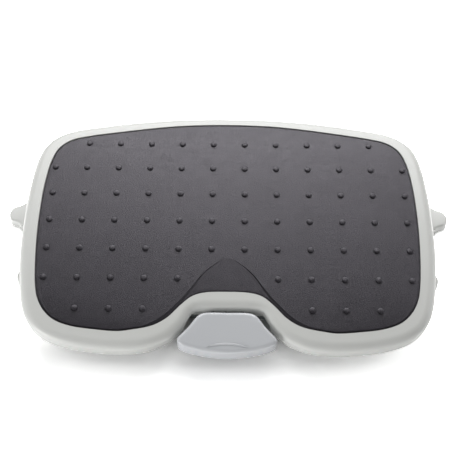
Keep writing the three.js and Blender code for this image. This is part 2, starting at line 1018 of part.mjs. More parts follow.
// A brake sector round the tilt shaft, with its hub.
function sector(side, from, to) {
  const near = side * sectorInnerX;
  const far = side * (sectorInnerX + sectorThickness);
  const forwards = 180; // degrees, from the back
  const rim = arcPoints(
    tiltShaftY,
    tiltShaftZ,
    sectorRadius,
    forwards + from,
    forwards + to,
    roundSides,
  );
  const wedge = sideways([[tiltShaftY, tiltShaftZ], ...rim], near, far);
  const hub = bar(
    sectorHub,
    near,
    side * (sectorInnerX + sectorThickness + sectorHubLength),
    tiltShaftY,
    tiltShaftZ,
  );
  return join(wedge, hub);
}

function shaftHole(y, z) {
  return bar(clearing(shaftRadius), -shaftHalf - overrun, shaftHalf + overrun, y, z);
}

function liftSector() {
  const blank = sector(-1, worldFrom - sectorMargin, worldTo + liftRange + sectorMargin);
  return cut(blank, shaftHole(tiltShaftY, tiltShaftZ));
}

function tiltSector() {
  const blank = sector(1, worldFrom - sectorMargin, worldTo + sectorMargin);
  const tail = linkPlate(
    tiltShaftY,
    tiltShaftZ,
    carrierEye,
    upperRodY,
    tiltShaftZ,
    carrierEye,
    carrierWidth,
    sectorInnerX,
    sectorInnerX + sectorThickness,
  );
  return cut(join(blank, tail), shaftHole(tiltShaftY, tiltShaftZ), shaftHole(upperRodY, tiltShaftZ));
}

// An arm from its axle in the base up to its shaft, with a bushed eye at the foot.
function arm(side, footY, topY) {
  const near = side * armInnerX;
  const far = side * armOuterX;
  const plate = linkPlate(
    footY,
    axleHeight,
    armFootEye,
    topY,
    tiltShaftZ,
    armTopEye,
    armWidth,
    near,
    far,
  );
  const end = side * (armInnerX - overrun);
  const start = side * (armOuterX + overrun);
  return cut(
    plate,
    bar(clearing(bushRadius), end, start, footY, axleHeight),
    bar(clearing(shaftRadius), end, start, topY, tiltShaftZ),
  );
}

// A flanged bush in an arm's foot eye, which also spaces the arm from the base.
function bush(side, footY) {
  const sleeve = bar(bushRadius, side * armInnerX, side * (armOuterX + gap), footY, axleHeight);
  const flange = bar(
    bushFlangeRadius,
    side * (armOuterX + gap),
    side * (railInnerX - gap),
    footY,
    axleHeight,
  );
  const bore = bar(
    clearing(axleRadius),
    side * (armInnerX - overrun),
    side * (railInnerX + overrun),
    footY,
    axleHeight,
  );
  return cut(join(sleeve, flange), bore);
}

function carrierLink(side) {
  const plate = linkPlate(
    tiltShaftY,
    tiltShaftZ,
    carrierEye,
    upperRodY,
    tiltShaftZ,
    carrierEye,
    carrierWidth,
    side * carrierInnerX,
    side * carrierOuterX,
  );
  return cut(plate, shaftHole(tiltShaftY, tiltShaftZ), shaftHole(upperRodY, tiltShaftZ));
}

function axle(y) {
  return cut(
    bar(axleRadius, -axleHalf, axleHalf, y, axleHeight),
    bar(axleBoreRadius, -axleHalf - overrun, axleHalf + overrun, y, axleHeight, pinSides),
  );
}

// A push-in cap that closes an axle's end outside the base.
function axleCap(side, y) {
  const flats = Math.cos(Math.PI / pinSides);
  const start = axleHalf + gap;
  return join(
    bar(capRadius, side * start, side * (start + capThickness), y, axleHeight),
    bar(
      axleBoreRadius * flats - gap,
      side * (axleHalf - capStem),
      side * start,
      y,
      axleHeight,
      pinSides,
    ),
  );
}

// Plan of the right base side: a rail with a foot lobe bulging outwards at its front and rear.
function baseOutline(side) {
  const lobe = (x, y) =>
    lobeAngles.map((angle) => [
      x + footRadius * Math.cos(radians(angle)),
      y + footRadius * Math.sin(radians(angle)),
    ]);
  const half = [
    [railInnerX, railRearY - railCorner],
    [railInnerX, railRearY - 2 * railCorner],
    [railInnerX, railFrontY + 2 * railCorner],
    [railInnerX, railFrontY + railCorner],
    [railInnerX + railCorner, railFrontY],
    [railOuterX - railCorner, railFrontY],
    [railOuterX, railFrontY + railCorner],
    [railOuterX + railRoll, (railFrontY + frontFootY - footRadius) / 2],
    ...lobe(frontFootX, frontFootY),
    [waistX, (frontFootY + rearFootY) / 2],
    ...lobe(rearFootX, rearFootY),
    [railOuterX + railRoll, (railRearY + rearFootY + footRadius) / 2],
    [railOuterX, railRearY - railCorner],
    [railOuterX - railCorner, railRearY],
    [railInnerX + railCorner, railRearY],
  ];
  return smooth(
    half.map(([x, y]) => [side * x, y]),
    basePoints,
  );
}

// Places of the rubber floor pads under a base side, front to back.
const floorPadPlaces = [
  [nosePadX, railFrontY + nosePadInset],
  [frontFootX, frontFootY],
  [rearFootX, rearFootY],
  [nosePadX, railRearY - nosePadInset],
];

function lug(side, y, plan) {
  const top = axleHeight;
  const low = railHeight - railRoll - gap;
  const near = side * railInnerX;
  const far = side * (railInnerX + lugThickness);
  const foot = sideways(
    [
      [y - lugSpread, low],
      [y + lugSpread, low],
      [y + lugRadius, top + gap],
      [y - lugRadius, top + gap],
    ],
    near,
    far,
  );
  return join(foot, bar(lugRadius, near, far, y, top)).intersect(plan);
}

function baseSide(side) {
  const outline = baseOutline(side);
  const flat = (z) => () => z;
  const rings = [
    [0, flat(footLift)],
    [0, flat(railHeight - railRoll)],
    [railRoll * (1 - Math.SQRT1_2), flat(railHeight - railRoll * (1 - Math.SQRT1_2))],
    [railRoll, flat(railHeight)],
  ];
  const body = loft(outline, rings);
  const ceiling = railHeight - baseWall;
  const length = railRearY - railFrontY;
  const ribCount = Math.floor(length / ribPitch);
  const near = side * (railInnerX - overrun);
  const far = side * (rearFootX + footRadius + overrun);
  const ribs = [];
  for (let i = 1; i <= ribCount; i += 1) {
    const y = railFrontY + (length * i) / (ribCount + 1);
    ribs.push(box(near, far, y - ribWall / 2, y + ribWall / 2, 0, railHeight));
  }
  const seats = floorPadPlaces.map(([x, y]) =>
    post(padRadius + gap + baseWall, side * x, y, 0, railHeight, footSides),
  );
  const tieSide = side * (tieHalfLength + gap);
  const tieSeat = box(
    near,
    tieSide + side * baseWall,
    tieY - tieHalfWidth - baseWall,
    tieY + tieHalfWidth + baseWall,
    0,
    railHeight,
  );
  const pockets = cut(
    upright(inset(outline, baseWall), 0, ceiling),
    ...ribs,
    ...seats,
    tieSeat,
  );
  const recesses = floorPadPlaces.map(([x, y]) =>
    post(clearing(padRadius, footSides), side * x, y, 0, footLift + padSeat + gap, footSides),
  );
  const tieTop = footLift + gap + tieThickness + gap;
  const tieSlot = box(near, tieSide, tieY - tieHalfWidth - gap, tieY + tieHalfWidth + gap, 0, tieTop);
  const stakes = [-1, 1].map((end) =>
    post(stakeRadius, side * tieStakeX, tieY + end * tieStakeSpread, gap + gap, tieTop + gap, pinSides),
  );
  const beyond = box(near, side * railInnerX, railFrontY - overrun, railRearY + overrun, 0, railHeight);
  const plan = upright(outline, 0, axleHeight + lugRadius + overrun);
  const lugs = [liftAxleY, guideAxleY].map((y) => lug(side, y, plan));
  const holes = [liftAxleY, guideAxleY].map((y) =>
    bar(
      clearing(axleRadius),
      near,
      side * (railInnerX + lugThickness + capThickness + overrun),
      y,
      axleHeight,
    ),
  );
  const caps = [liftAxleY, guideAxleY].map((y) =>
    bar(
      clearing(capRadius),
      side * (railInnerX + lugThickness),
      side * (railInnerX + lugThickness + capThickness + overrun),
      y,
      axleHeight,
    ),
  );
  const rail = cut(body, beyond, pockets, tieSlot);
  return cut(join(rail, ...stakes, ...lugs), ...recesses, ...holes, ...caps);
}

function floorPad(side, [x, y]) {
  const top = footLift + padSeat;
  return join(
    post(padRadius - padChamfer, side * x, y, 0, padChamfer, footSides, padRadius),
    post(padRadius, side * x, y, padChamfer, top, footSides),
  );
}

function tieStrip() {
  const low = footLift + gap;
  const strip = box(
    -tieHalfLength,
    tieHalfLength,
    tieY - tieHalfWidth,
    tieY + tieHalfWidth,
    low,
    low + tieThickness,
  );
  const holes = [-1, 1].flatMap((side) =>
    [-1, 1].map((end) =>
      post(
        clearing(stakeRadius, pinSides),
        side * tieStakeX,
        tieY + end * tieStakeSpread,
        0,
        low + tieThickness + overrun,
        pinSides,
      ),
    ),
  );
  return cut(strip, ...holes);
}

function springCollar(side) {
  const far = assistStartX - assistWire - gap;
  const near = far - collarWidth;
  const start = side * (near - overrun);
  const end = side * (far + overrun);
  return cut(
    bar(collarRadius, side * near, side * far, liftAxleY, axleHeight),
    bar(clearing(axleRadius), start, end, liftAxleY, axleHeight),
  );
}

// A closed round wire along a list of points, with flat ends.
function wire(points, radius) {
  const count = points.length;
  const positions = [];
  const faces = [];
  let normal = new THREE.Vector3(1, 1, 1);
  points.forEach((point, i) => {
    const before = points[Math.max(i - 1, 0)];
    const after = points[Math.min(i + 1, count - 1)];
    const along = after.clone().sub(before).normalize();
    normal = normal.clone().addScaledVector(along, -normal.dot(along)).normalize();
    const across = along.clone().cross(normal);
    for (let j = 0; j < wireSides; j += 1) {
      const angle = (2 * Math.PI * j) / wireSides;
      const place = point
        .clone()
        .addScaledVector(normal, radius * Math.cos(angle))
        .addScaledVector(across, radius * Math.sin(angle));
      positions.push(place.x, place.y, place.z);
    }
  });
  for (let i = 0; i < count - 1; i += 1) {
    for (let j = 0; j < wireSides; j += 1) {
      const a = i * wireSides + j;
      const b = i * wireSides + ((j + 1) % wireSides);
      faces.push(a, b, b + wireSides, a, b + wireSides, a + wireSides);
    }
  }
  const last = (count - 1) * wireSides;
  for (let j = 1; j < wireSides - 1; j += 1) {
    faces.push(0, j + 1, j, last, last + j, last + j + 1);
  }
  const geometry = new THREE.BufferGeometry();
  geometry.setAttribute("position", new THREE.Float32BufferAttribute(positions, 3));
  geometry.setIndex(faces);
  return solidOf(geometry);
}

// The least clear distance between a wire and itself, measured between points of different curls.
function leastGap(points, radius) {
  let least = Infinity;
  points.forEach((point, i) => {
    for (let j = i + stepsPerCurl - 1; j < points.length; j += 1) {
      least = Math.min(least, point.distanceTo(points[j]) - 2 * radius);
    }
  });
  return least;
}

// Points of a coil along X, from one angle on, climbing one pitch for each curl.
function coilAlongX(startX, side, pitch, radius, y, z, curls, startAngle) {
  const points = [];
  for (let i = 0; i <= curls * stepsPerCurl; i += 1) {
    const turn = i / stepsPerCurl;
    const angle = startAngle + 2 * Math.PI * turn;
    points.push(
      new THREE.Vector3(
        side * (startX + pitch * turn),
        y + radius * Math.cos(angle),
        z + radius * Math.sin(angle),
      ),
    );
  }
  return points;
}

// Lift assist: coils round the lift axle, then a leg along the arm and a foot under it.
function assistSpringPoints(side) {
  const along = [-armRun / armLength, armRise / armLength];
  const down = [-armRise / armLength, -armRun / armLength];
  const start = Math.atan2(down[1], down[0]);
  const coil = coilAlongX(
    assistStartX,
    side,
    assistPitch,
    assistCoilRadius,
    liftAxleY,
    axleHeight,
    assistCurls,
    start,
  );
  const endX = assistStartX + assistPitch * assistCurls;
  const below = armWidth / 2 + gap + assistWire;
  const legPlace = (length, x) =>
    new THREE.Vector3(
      side * x,
      liftAxleY + along[0] * length + down[0] * below,
      axleHeight + along[1] * length + down[1] * below,
    );
  return [
    ...coil,
    legPlace(assistLeg / 2, endX + assistWire),
    legPlace(assistLeg - assistWire, endX + 2 * assistWire),
    legPlace(assistLeg, endX + 4 * assistWire),
    legPlace(assistLeg, armOuterX - assistWire),
  ];
}

// Brake springs: coils from the shoe's front face to the guide's front wall.
function brakeSpringPoints(side) {
  const from = shoeBackY - shoeDepth - gap - brakeWire;
  const to = guideFrontY + guideWall + gap + brakeWire;
  const points = [];
  for (let i = 0; i <= brakeCurls * stepsPerCurl; i += 1) {
    const turn = i / stepsPerCurl;
    const angle = 2 * Math.PI * turn;
    points.push(
      new THREE.Vector3(
        side * brakeSpringX + brakeCoilRadius * Math.cos(angle),
        from + ((to - from) * turn) / brakeCurls,
        -shoeDrop - shoeHeight / 2 + brakeCoilRadius * Math.sin(angle),
      ),
    );
  }
  return points;
}

// Pedal return: coils round the pedal pin, one leg forward under the pedal's top.
function returnSpringPoints() {
  const start = Math.PI;
  const coil = coilAlongX(
    returnStartX,
    1,
    returnPitch,
    returnCoilRadius,
    pivotY,
    -pivotDrop,
    returnCurls,
    start,
  );
  const tip = coil[coil.length - 1];
  const rise = crown(pivotY - returnLeg) - pedalWall - gap - 2 * returnWire;
  return [
    ...coil,
    new THREE.Vector3(tip.x + returnWire, tip.y - returnWire, (tip.z + rise) / 2),
    new THREE.Vector3(tip.x + returnWire, tip.y - returnLeg / 2, rise),
  ];
}

// Finishes: colour, roughness and metalness of each kind of piece.
const finishes = {
  lightPlastic: [0xd3d4d3, 0.5, 0],
  padRubber: [0x3d3c40, 0.75, 0],
  footRubber: [0x242426, 0.85, 0],
  armSteel: [0x2e3033, 0.55, 0.2],
  zincSteel: [0xaeb2b5, 0.38, 0.9],
  nylon: [0xe4e1d8, 0.55, 0],
  springSteel: [0x8b8f93, 0.35, 0.9],
  brakeLining: [0x5b4a3a, 0.9, 0],
  darkPlastic: [0x34363a, 0.6, 0],
};

function piece(name, solid, finish) {
  const [color, roughness, metalness] = finishes[finish];
  const material = new THREE.MeshStandardMaterial({ color, roughness, metalness });
  const mesh = new THREE.Mesh(geometryOf(solid), material);
  mesh.name = name;
  return mesh;
}

function buildPlatform() {
  const platform = new THREE.Group();
  platform.position.set(0, platformShift, platformHeight);
  platform.rotation.x = radians(platformTilt);
  platform.add(
    piece("platform_shell", platformShell(), "lightPlastic"),
    piece("foot_pad", footPad(), "padRubber"),
    piece("pedal", pedal(), "lightPlastic"),
    piece("pedal_yoke", pedalYoke(), "armSteel"),
    piece("brake_guide", brakeGuide(), "darkPlastic"),
    piece("brake_shoe", brakeShoe(), "zincSteel"),
    piece("lift_lining", lining(-1), "brakeLining"),
    piece("tilt_lining", lining(1), "brakeLining"),
    piece("pull_link", pullLink(), "zincSteel"),
  );
  const pinHalf = ribInnerX + ribThickness + sideGap + yokeArm + shaftEnd;
  const crankHalf = ribInnerX + ribThickness;
  platform.add(
    piece(
      "pedal_pin",
      bar(pedalPinRadius, -pinHalf, pinHalf, pivotY, -pivotDrop, pinSides),
      "zincSteel",
    ),
    piece(
      "crank_pin",
      bar(crankPinRadius, -crankHalf, crankHalf, pivotY, -crankDrop, pinSides),
      "zincSteel",
    ),
  );
  [
    [-1, "left"],
    [1, "right"],
  ].forEach(([side, word]) => {
    platform.add(piece(`hinge_bracket_${word}`, hingeBracket(side), "armSteel"));
    bracketScrewPlaces(side).forEach(([x, y], i) => {
      const end = i === 0 ? "front" : "rear";
      const name = `bracket_screw_${word}_${end}`;
      platform.add(piece(name, screw(x, y, bracketSeatDrop, bracketFlange), "zincSteel"));
    });
    const [x, y] = yokeScrewPlaces[side < 0 ? 0 : 1];
    platform.add(piece(`yoke_screw_${word}`, screw(x, y, yokeSeatDrop, yokePlate), "zincSteel"));
    platform.add(
      piece(`brake_spring_${word}`, wire(brakeSpringPoints(side), brakeWire), "springSteel"),
    );
  });
  platform.add(
    piece("pedal_return_spring", wire(returnSpringPoints(), returnWire), "springSteel"),
  );
  return platform;
}

function buildLinkage() {
  const linkage = new THREE.Group();
  linkage.add(
    piece(
      "tilt_shaft",
      bar(shaftRadius, -shaftHalf, shaftHalf, tiltShaftY, tiltShaftZ),
      "zincSteel",
    ),
    piece("upper_rod", bar(shaftRadius, -shaftHalf, shaftHalf, upperRodY, tiltShaftZ), "zincSteel"),
    piece("lift_sector", liftSector(), "zincSteel"),
    piece("tilt_sector", tiltSector(), "zincSteel"),
  );
  [
    [-1, "left"],
    [1, "right"],
  ].forEach(([side, word]) => {
    linkage.add(
      piece(`lift_arm_${word}`, arm(side, liftAxleY, tiltShaftY), "armSteel"),
      piece(`guide_arm_${word}`, arm(side, guideAxleY, upperRodY), "armSteel"),
      piece(`lift_bush_${word}`, bush(side, liftAxleY), "nylon"),
      piece(`guide_bush_${word}`, bush(side, guideAxleY), "nylon"),
      piece(`carrier_link_${word}`, carrierLink(side), "armSteel"),
      piece(`assist_spring_${word}`, wire(assistSpringPoints(side), assistWire), "springSteel"),
      piece(`spring_collar_${word}`, springCollar(side), "nylon"),
    );
  });
  return linkage;
}

function buildBase() {
  const base = new THREE.Group();
  base.add(
    piece("lift_axle", axle(liftAxleY), "zincSteel"),
    piece("guide_axle", axle(guideAxleY), "zincSteel"),
    piece("tie_strip", tieStrip(), "zincSteel"),
  );
  const padWords = ["nose", "front", "rear", "tail"];
  [
    [-1, "left"],
    [1, "right"],
  ].forEach(([side, word]) => {
    base.add(
      piece(`base_side_${word}`, baseSide(side), "lightPlastic"),
      piece(`lift_axle_cap_${word}`, axleCap(side, liftAxleY), "darkPlastic"),
      piece(`guide_axle_cap_${word}`, axleCap(side, guideAxleY), "darkPlastic"),
    );
    floorPadPlaces.forEach((place, i) => {
      base.add(piece(`floor_pad_${word}_${padWords[i]}`, floorPad(side, place), "footRubber"));
    });
  });
  return base;
}

console.log(
  "least gap of a spring to itself, mm:",
  "assist",
  leastGap(assistSpringPoints(1), assistWire).toFixed(2),
  "brake",
  leastGap(brakeSpringPoints(1), brakeWire).toFixed(2),
  "return",
  leastGap(returnSpringPoints(), returnWire).toFixed(2),
);

const footrest = new THREE.Group();
footrest.add(buildPlatform(), buildLinkage(), buildBase());

export default footrest;
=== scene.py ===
"""Tilting under desk footrest: finer pieces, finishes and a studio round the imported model."""
import json
import math

import bmesh
import bpy
from bpy.props import FloatProperty, FloatVectorProperty, IntProperty, PointerProperty
from mathutils import Matrix, Vector

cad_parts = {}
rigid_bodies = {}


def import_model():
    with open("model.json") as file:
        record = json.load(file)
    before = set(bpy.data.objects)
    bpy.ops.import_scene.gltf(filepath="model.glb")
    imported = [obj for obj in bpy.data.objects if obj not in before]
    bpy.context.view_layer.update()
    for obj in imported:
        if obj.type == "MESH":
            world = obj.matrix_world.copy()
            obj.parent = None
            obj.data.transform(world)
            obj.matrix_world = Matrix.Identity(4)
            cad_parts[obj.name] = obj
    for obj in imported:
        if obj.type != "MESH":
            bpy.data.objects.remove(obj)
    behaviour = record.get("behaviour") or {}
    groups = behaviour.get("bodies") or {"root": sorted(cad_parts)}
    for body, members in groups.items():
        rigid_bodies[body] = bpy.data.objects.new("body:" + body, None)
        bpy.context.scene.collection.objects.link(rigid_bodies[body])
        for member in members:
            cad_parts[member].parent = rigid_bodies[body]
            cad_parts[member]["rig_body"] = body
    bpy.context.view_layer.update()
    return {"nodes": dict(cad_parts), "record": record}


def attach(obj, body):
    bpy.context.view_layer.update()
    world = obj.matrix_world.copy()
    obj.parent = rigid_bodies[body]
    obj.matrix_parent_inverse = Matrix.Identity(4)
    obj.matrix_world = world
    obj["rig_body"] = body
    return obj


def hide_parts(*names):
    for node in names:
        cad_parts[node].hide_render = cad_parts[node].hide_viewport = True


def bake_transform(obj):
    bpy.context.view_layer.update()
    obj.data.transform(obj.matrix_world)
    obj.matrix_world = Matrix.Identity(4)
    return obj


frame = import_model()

bl_info = {
    "name": "Tilting Footrest",
    "version": (1, 0, 0),
    "blender": (4, 5, 0),
    "location": "View3D > Sidebar > Footrest",
    "description": "Builds a tilting under desk footrest piece by piece",
    "category": "Add Mesh",
}

MM = 0.001
QUARTER = math.pi / 2  # a quarter turn
SIDES = {"left": -1, "right": 1}


def linear(code):
    """A hex colour, as written for screens, as linear red, green, blue and alpha."""
    parts = [int(code[i:i + 2], 16) / 255 for i in (0, 2, 4)]
    return [c / 12.92 if c <= 0.04045 else ((c + 0.055) / 1.055) ** 2.4 for c in parts] + [1.0]


# Sizes and colours that a user would change


class FootrestSizes(bpy.types.PropertyGroup):
    """Sizes of the platform, the pad, the pedal and the base."""

    height: FloatProperty(
        name="Height", description="Crown of the platform above the floor",
        default=0.076, unit="LENGTH")
    shift: FloatProperty(
        name="Crown place", description="Crown of the platform from the middle of the object",
        default=-0.0032, unit="LENGTH")
    tilt: FloatProperty(
        name="Tilt", description="Back edge of the platform above its front",
        default=math.radians(8.42), subtype="ANGLE", unit="ROTATION")
    crown: FloatProperty(
        name="Crown radius", description="Curve of the platform from front to back",
        default=1.393, unit="LENGTH")
    half_width: FloatProperty(
        name="Half width", description="Middle to side of the platform",
        default=0.2525, unit="LENGTH")
    half_depth: FloatProperty(
        name="Half depth", description="Crown to back edge of the platform",
        default=0.1702, unit="LENGTH")
    roll_width: FloatProperty(
        name="Roll width", description="How far the rim's rounding reaches in",
        default=0.011, unit="LENGTH")
    roll_height: FloatProperty(
        name="Roll height", description="How far the rim's rounding reaches down",
        default=0.009, unit="LENGTH")
    skirt: FloatProperty(
        name="Skirt", description="Depth of the rim from its top to its lower edge",
        default=0.020, unit="LENGTH")
    wall: FloatProperty(
        name="Wall", description="Thickness of the rim and the plate",
        default=0.003, unit="LENGTH")
    pad_thickness: FloatProperty(
        name="Pad thickness", description="Thickness of the rubber pad",
        default=0.0032, unit="LENGTH")
    pad_edge: FloatProperty(
        name="Pad edge", description="Rounding of the pad's upper edge",
        default=0.0009, unit="LENGTH")
    bump_radius: FloatProperty(
        name="Bump radius", description="Radius of a bump at its foot",
        default=0.0039, unit="LENGTH")
    bump_height: FloatProperty(
        name="Bump height", description="Height of a bump over the pad",
        default=0.0021, unit="LENGTH")
    scoop_depth: FloatProperty(
        name="Scoop depth", description="Depth of the scoop at the notch",
        default=0.0019, unit="LENGTH")
    pedal_roll: FloatProperty(
        name="Pedal roll", description="Rounding of the pedal's edge",
        default=0.0038, unit="LENGTH")
    pedal_skirt: FloatProperty(
        name="Pedal skirt", description="Depth of the pedal's wall",
        default=0.0183, unit="LENGTH")
    rail_height: FloatProperty(
        name="Rail height", description="Top of the base mouldings above the floor",
        default=0.014, unit="LENGTH")
    edge_break: FloatProperty(
        name="Edge break", description="Rounding of the edges of the steel and brake parts",
        default=0.00035, unit="LENGTH")
    outline_points: IntProperty(
        name="Outline points", description="Points round the platform's outline",
        default=336, min=84)


class FootrestColours(bpy.types.PropertyGroup):
    """Colours of the finishes."""

    moulding: FloatVectorProperty(
        name="Mouldings", description="Pale grey moulded plastic",
        default=linear("c0c1be"), size=4, subtype="COLOR")
    pedal: FloatVectorProperty(
        name="Pedal", description="Cooler grey moulded plastic of the pedal",
        default=linear("b8babd"), size=4, subtype="COLOR")
    pad: FloatVectorProperty(
        name="Pad", description="Dark rubber of the foot pad",
        default=linear("1f1d22"), size=4, subtype="COLOR")
    feet: FloatVectorProperty(
        name="Floor pads", description="Black rubber of the floor pads",
        default=linear("202022"), size=4, subtype="COLOR")
    paint: FloatVectorProperty(
        name="Steel paint", description="Powder coat of the arms and brackets",
        default=linear("2b2d30"), size=4, subtype="COLOR")
    zinc: FloatVectorProperty(
        name="Zinc", description="Plating of the shafts, pins and screws",
        default=linear("c3c7ca"), size=4, subtype="COLOR")
    spring: FloatVectorProperty(
        name="Springs", description="Oiled wire of the springs",
        default=linear("8d9094"), size=4, subtype="COLOR")
    nylon: FloatVectorProperty(
        name="Nylon", description="Natural nylon of the bushes",
        default=linear("e6e3da"), size=4, subtype="COLOR")
    housing: FloatVectorProperty(
        name="Housing", description="Glass filled nylon of the brake housing and caps",
        default=linear("323438"), size=4, subtype="COLOR")
    fibre: FloatVectorProperty(
        name="Brake fibre", description="Pressed fibre of the brake linings",
        default=linear("5d4c3c"), size=4, subtype="COLOR")


# Proportions of the outlines, as shares of the half sizes, from the back centre to the front


RIM = [
    (0, 1), (0.238, 0.989), (0.475, 0.952), (0.681, 0.898), (0.804, 0.855), (0.879, 0.799),
    (0.935, 0.711), (0.968, 0.576), (0.99, 0.323), (1, 0), (0.999, -0.264), (0.986, -0.482),
    (0.97, -0.635), (0.948, -0.74), (0.908, -0.832), (0.848, -0.9), (0.768, -0.946),
    (0.66, -0.977), (0.535, -0.993),
]
NOTCH = [
    (1, 1), (0.868, 0.862), (0.77, 0.685), (0.691, 0.523), (0.642, 0.395), (0.603, 0.254),
    (0.542, 0.08), (0.447, 0.017), (0.289, 0.005),
]
PAD = [
    (0, 1), (0.258, 0.984), (0.43, 0.951), (0.645, 0.896), (0.774, 0.858), (0.873, 0.812),
    (0.935, 0.728), (0.967, 0.606), (0.99, 0.369), (1, 0), (0.995, -0.324), (0.98, -0.583),
    (0.963, -0.693), (0.929, -0.788), (0.874, -0.866), (0.79, -0.915), (0.666, -0.942),
    (0.546, -0.954),
]
PAD_NOTCH = [
    (1.448, 0.996), (1.276, 0.947), (1.106, 0.861), (0.921, 0.674), (0.742, 0.377),
    (0.559, 0.127), (0.369, 0.027),
]
SCOOP = [
    (0, 0), (0.124, 0.025), (0.255, 0.111), (0.49, 0.312), (0.647, 0.493), (0.804, 0.732),
    (0.922, 0.895), (1, 1),
]
PEDAL = [
    (0, 0), (0.4, 0), (0.52, 0.03), (0.6, 0.088), (0.667, 0.18), (0.75, 0.315), (0.85, 0.45),
    (0.93, 0.545), (0.985, 0.62), (1, 0.68), (0.985, 0.745), (0.923, 0.807), (0.786, 0.868),
    (0.53, 0.938), (0.256, 0.985), (0, 1),
]

# Places and sizes of the outlines on the platform, in millimetres
PEDAL_BACK = -122.3
PEDAL_DEPTH = 50.3
PEDAL_HALF = 58.2
NOTCH_HALF = 76
NOTCH_BACK = -117.7
NOTCH_MOUTH = 11.2
# the front edge beside the notch's mouth
LOBE = [(34, 1.8), (16, 4.9)]
PAD_HALF = 232.7
PAD_BACK = 154.3
PAD_FRONT = -145
PAD_NOTCH_EDGE = -96.2
# inset of the pad's wall from its outline, so that the gap round it shows
SLACK = 1.2
SCOOP_HALF = 51
SCOOP_LENGTH = 43.5
SCOOP_RUN = 8.8
# the scoop's narrow feet along the notch, and how it leaves the pad in front
SCOOP_FOOT = [
    (57, -111.4), (63.7, -118.9), (72, -127.2), (80.2, -133.8), (92, -140), (104, -144.6),
]
SCOOP_END = [(116, -152), (60, -152), (0, -152)]
SCOOP_POINTS = 240
# the opening in the notch's wall for the pedal
WINDOW_HALF = 57
WINDOW_DROP = 14.5
WINDOW_REACH = 16
WINDOW_BACK = 8

# How outlines and meshes are worked, lengths in millimetres
FINE_STEPS = 24
NO_LENGTH = 1e-4
# points past which an outline's inset looks two neighbours away
BROAD_OUTLINE = 100
CUT_SLOP = 1e-5
DOUBLES = 1e-4
WELD = 0.002
FLAT_ANGLE = math.radians(0.6)
SHARP_ANGLE = math.radians(50)


def sizes():
    """The sizes that a user may change."""
    return bpy.context.scene.footrest_sizes


def colours():
    """The colours that a user may change."""
    return bpy.context.scene.footrest_colours


def millimetres(value):
    """Metres as millimetres."""
    return value / MM


def crown(y):
    """Height of the platform's surface at a place from front to back."""
    radius = millimetres(sizes().crown)
    return math.sqrt(radius * radius - y * y) - radius


def platform_place():
    """Where the platform's own frame lies on the whole object, in millimetres."""
    s = sizes()
    place = Vector((0, millimetres(s.shift), millimetres(s.height)))
    return Matrix.Translation(place) @ Matrix.Rotation(s.tilt, 4, "X")


# Outlines


def mirrored(half):
    """The whole outline of a half that runs from the back centre to the front centre."""
    return half + [(-x, y) for x, y in reversed(half) if x > 0]


def flowing(points, count):
    """A closed smooth outline through a few points, at even steps, counter-clockwise."""
    dense = []
    size = len(points)
    for i in range(size):
        p = [Vector(points[(i + k) % size]) for k in (-1, 0, 1, 2)]
        d = [max((p[k + 1] - p[k]).length ** 0.5, NO_LENGTH) for k in range(3)]
        t1 = ((p[1] - p[0]) / d[0] - (p[2] - p[0]) / (d[0] + d[1]) + (p[2] - p[1]) / d[1]) * d[1]
        t2 = ((p[2] - p[1]) / d[1] - (p[3] - p[1]) / (d[1] + d[2]) + (p[3] - p[2]) / d[2]) * d[1]
        c2 = 3 * (p[2] - p[1]) - 2 * t1 - t2
        c3 = 2 * (p[1] - p[2]) + t1 + t2
        shares = [k / FINE_STEPS for k in range(FINE_STEPS)]
        dense += [p[1] + t1 * t + c2 * t * t + c3 * t ** 3 for t in shares]
    lengths = [0.0]
    for i, point in enumerate(dense):
        lengths.append(lengths[-1] + (dense[(i + 1) % len(dense)] - point).length)
    outline = []
    at = 0
    for k in range(count):
        want = lengths[-1] * k / count
        while lengths[at + 1] < want:
            at += 1
        share = (want - lengths[at]) / (lengths[at + 1] - lengths[at])
        outline.append(dense[at].lerp(dense[(at + 1) % len(dense)], share))
    area = sum(a.x * b.y - b.x * a.y for a, b in zip(outline, outline[1:] + outline[:1]))
    return outline[::-1] if area < 0 else outline


def inset(outline, distance, spread=1):
    """A counter-clockwise outline moved inwards, square to the line between its neighbours."""
    count = len(outline)
    moved = []
    for i, point in enumerate(outline):
        along = outline[(i + spread) % count] - outline[i - spread]
        along.normalize()
        moved.append(point + Vector((-along.y, along.x)) * distance)
    return moved


def rim_outline():
    """The platform's edge, with the notch for the pedal."""
    width, depth = millimetres(sizes().half_width), millimetres(sizes().half_depth)
    mouth = NOTCH_MOUTH - depth
    half = [(x * width, y * depth) for x, y in RIM]
    half += [(NOTCH_HALF + x, y - depth) for x, y in LOBE]
    half += [(x * NOTCH_HALF, NOTCH_BACK + y * (mouth - NOTCH_BACK)) for x, y in NOTCH]
    return flowing(mirrored(half + [(0, NOTCH_BACK)]), sizes().outline_points)


def pad_outline():
    """The pad's edge, which follows the rim and the notch."""
    half = [(x * PAD_HALF, y * PAD_BACK) for x, y in PAD]
    depth = PAD_FRONT - PAD_NOTCH_EDGE
    half += [(x * NOTCH_HALF, PAD_NOTCH_EDGE + y * depth) for x, y in PAD_NOTCH]
    return flowing(mirrored(half + [(0, PAD_NOTCH_EDGE)]), sizes().outline_points)


def scoop_outline():
    """The bell of the scoop, run on past the pad's front."""
    apex = PAD_NOTCH_EDGE + SCOOP_LENGTH
    length = SCOOP_LENGTH + SCOOP_RUN
    half = [(x * SCOOP_HALF, apex - y * length) for x, y in SCOOP]
    return flowing(mirrored(half + SCOOP_FOOT + SCOOP_END), SCOOP_POINTS)


def pedal_outline():
    """The pedal's edge: a narrow back, wide shoulders and a bowed front."""
    half = [(x * PEDAL_HALF, PEDAL_BACK - y * PEDAL_DEPTH) for x, y in PEDAL]
    return flowing(mirrored(half), sizes().outline_points // 2)


# Mesh tools


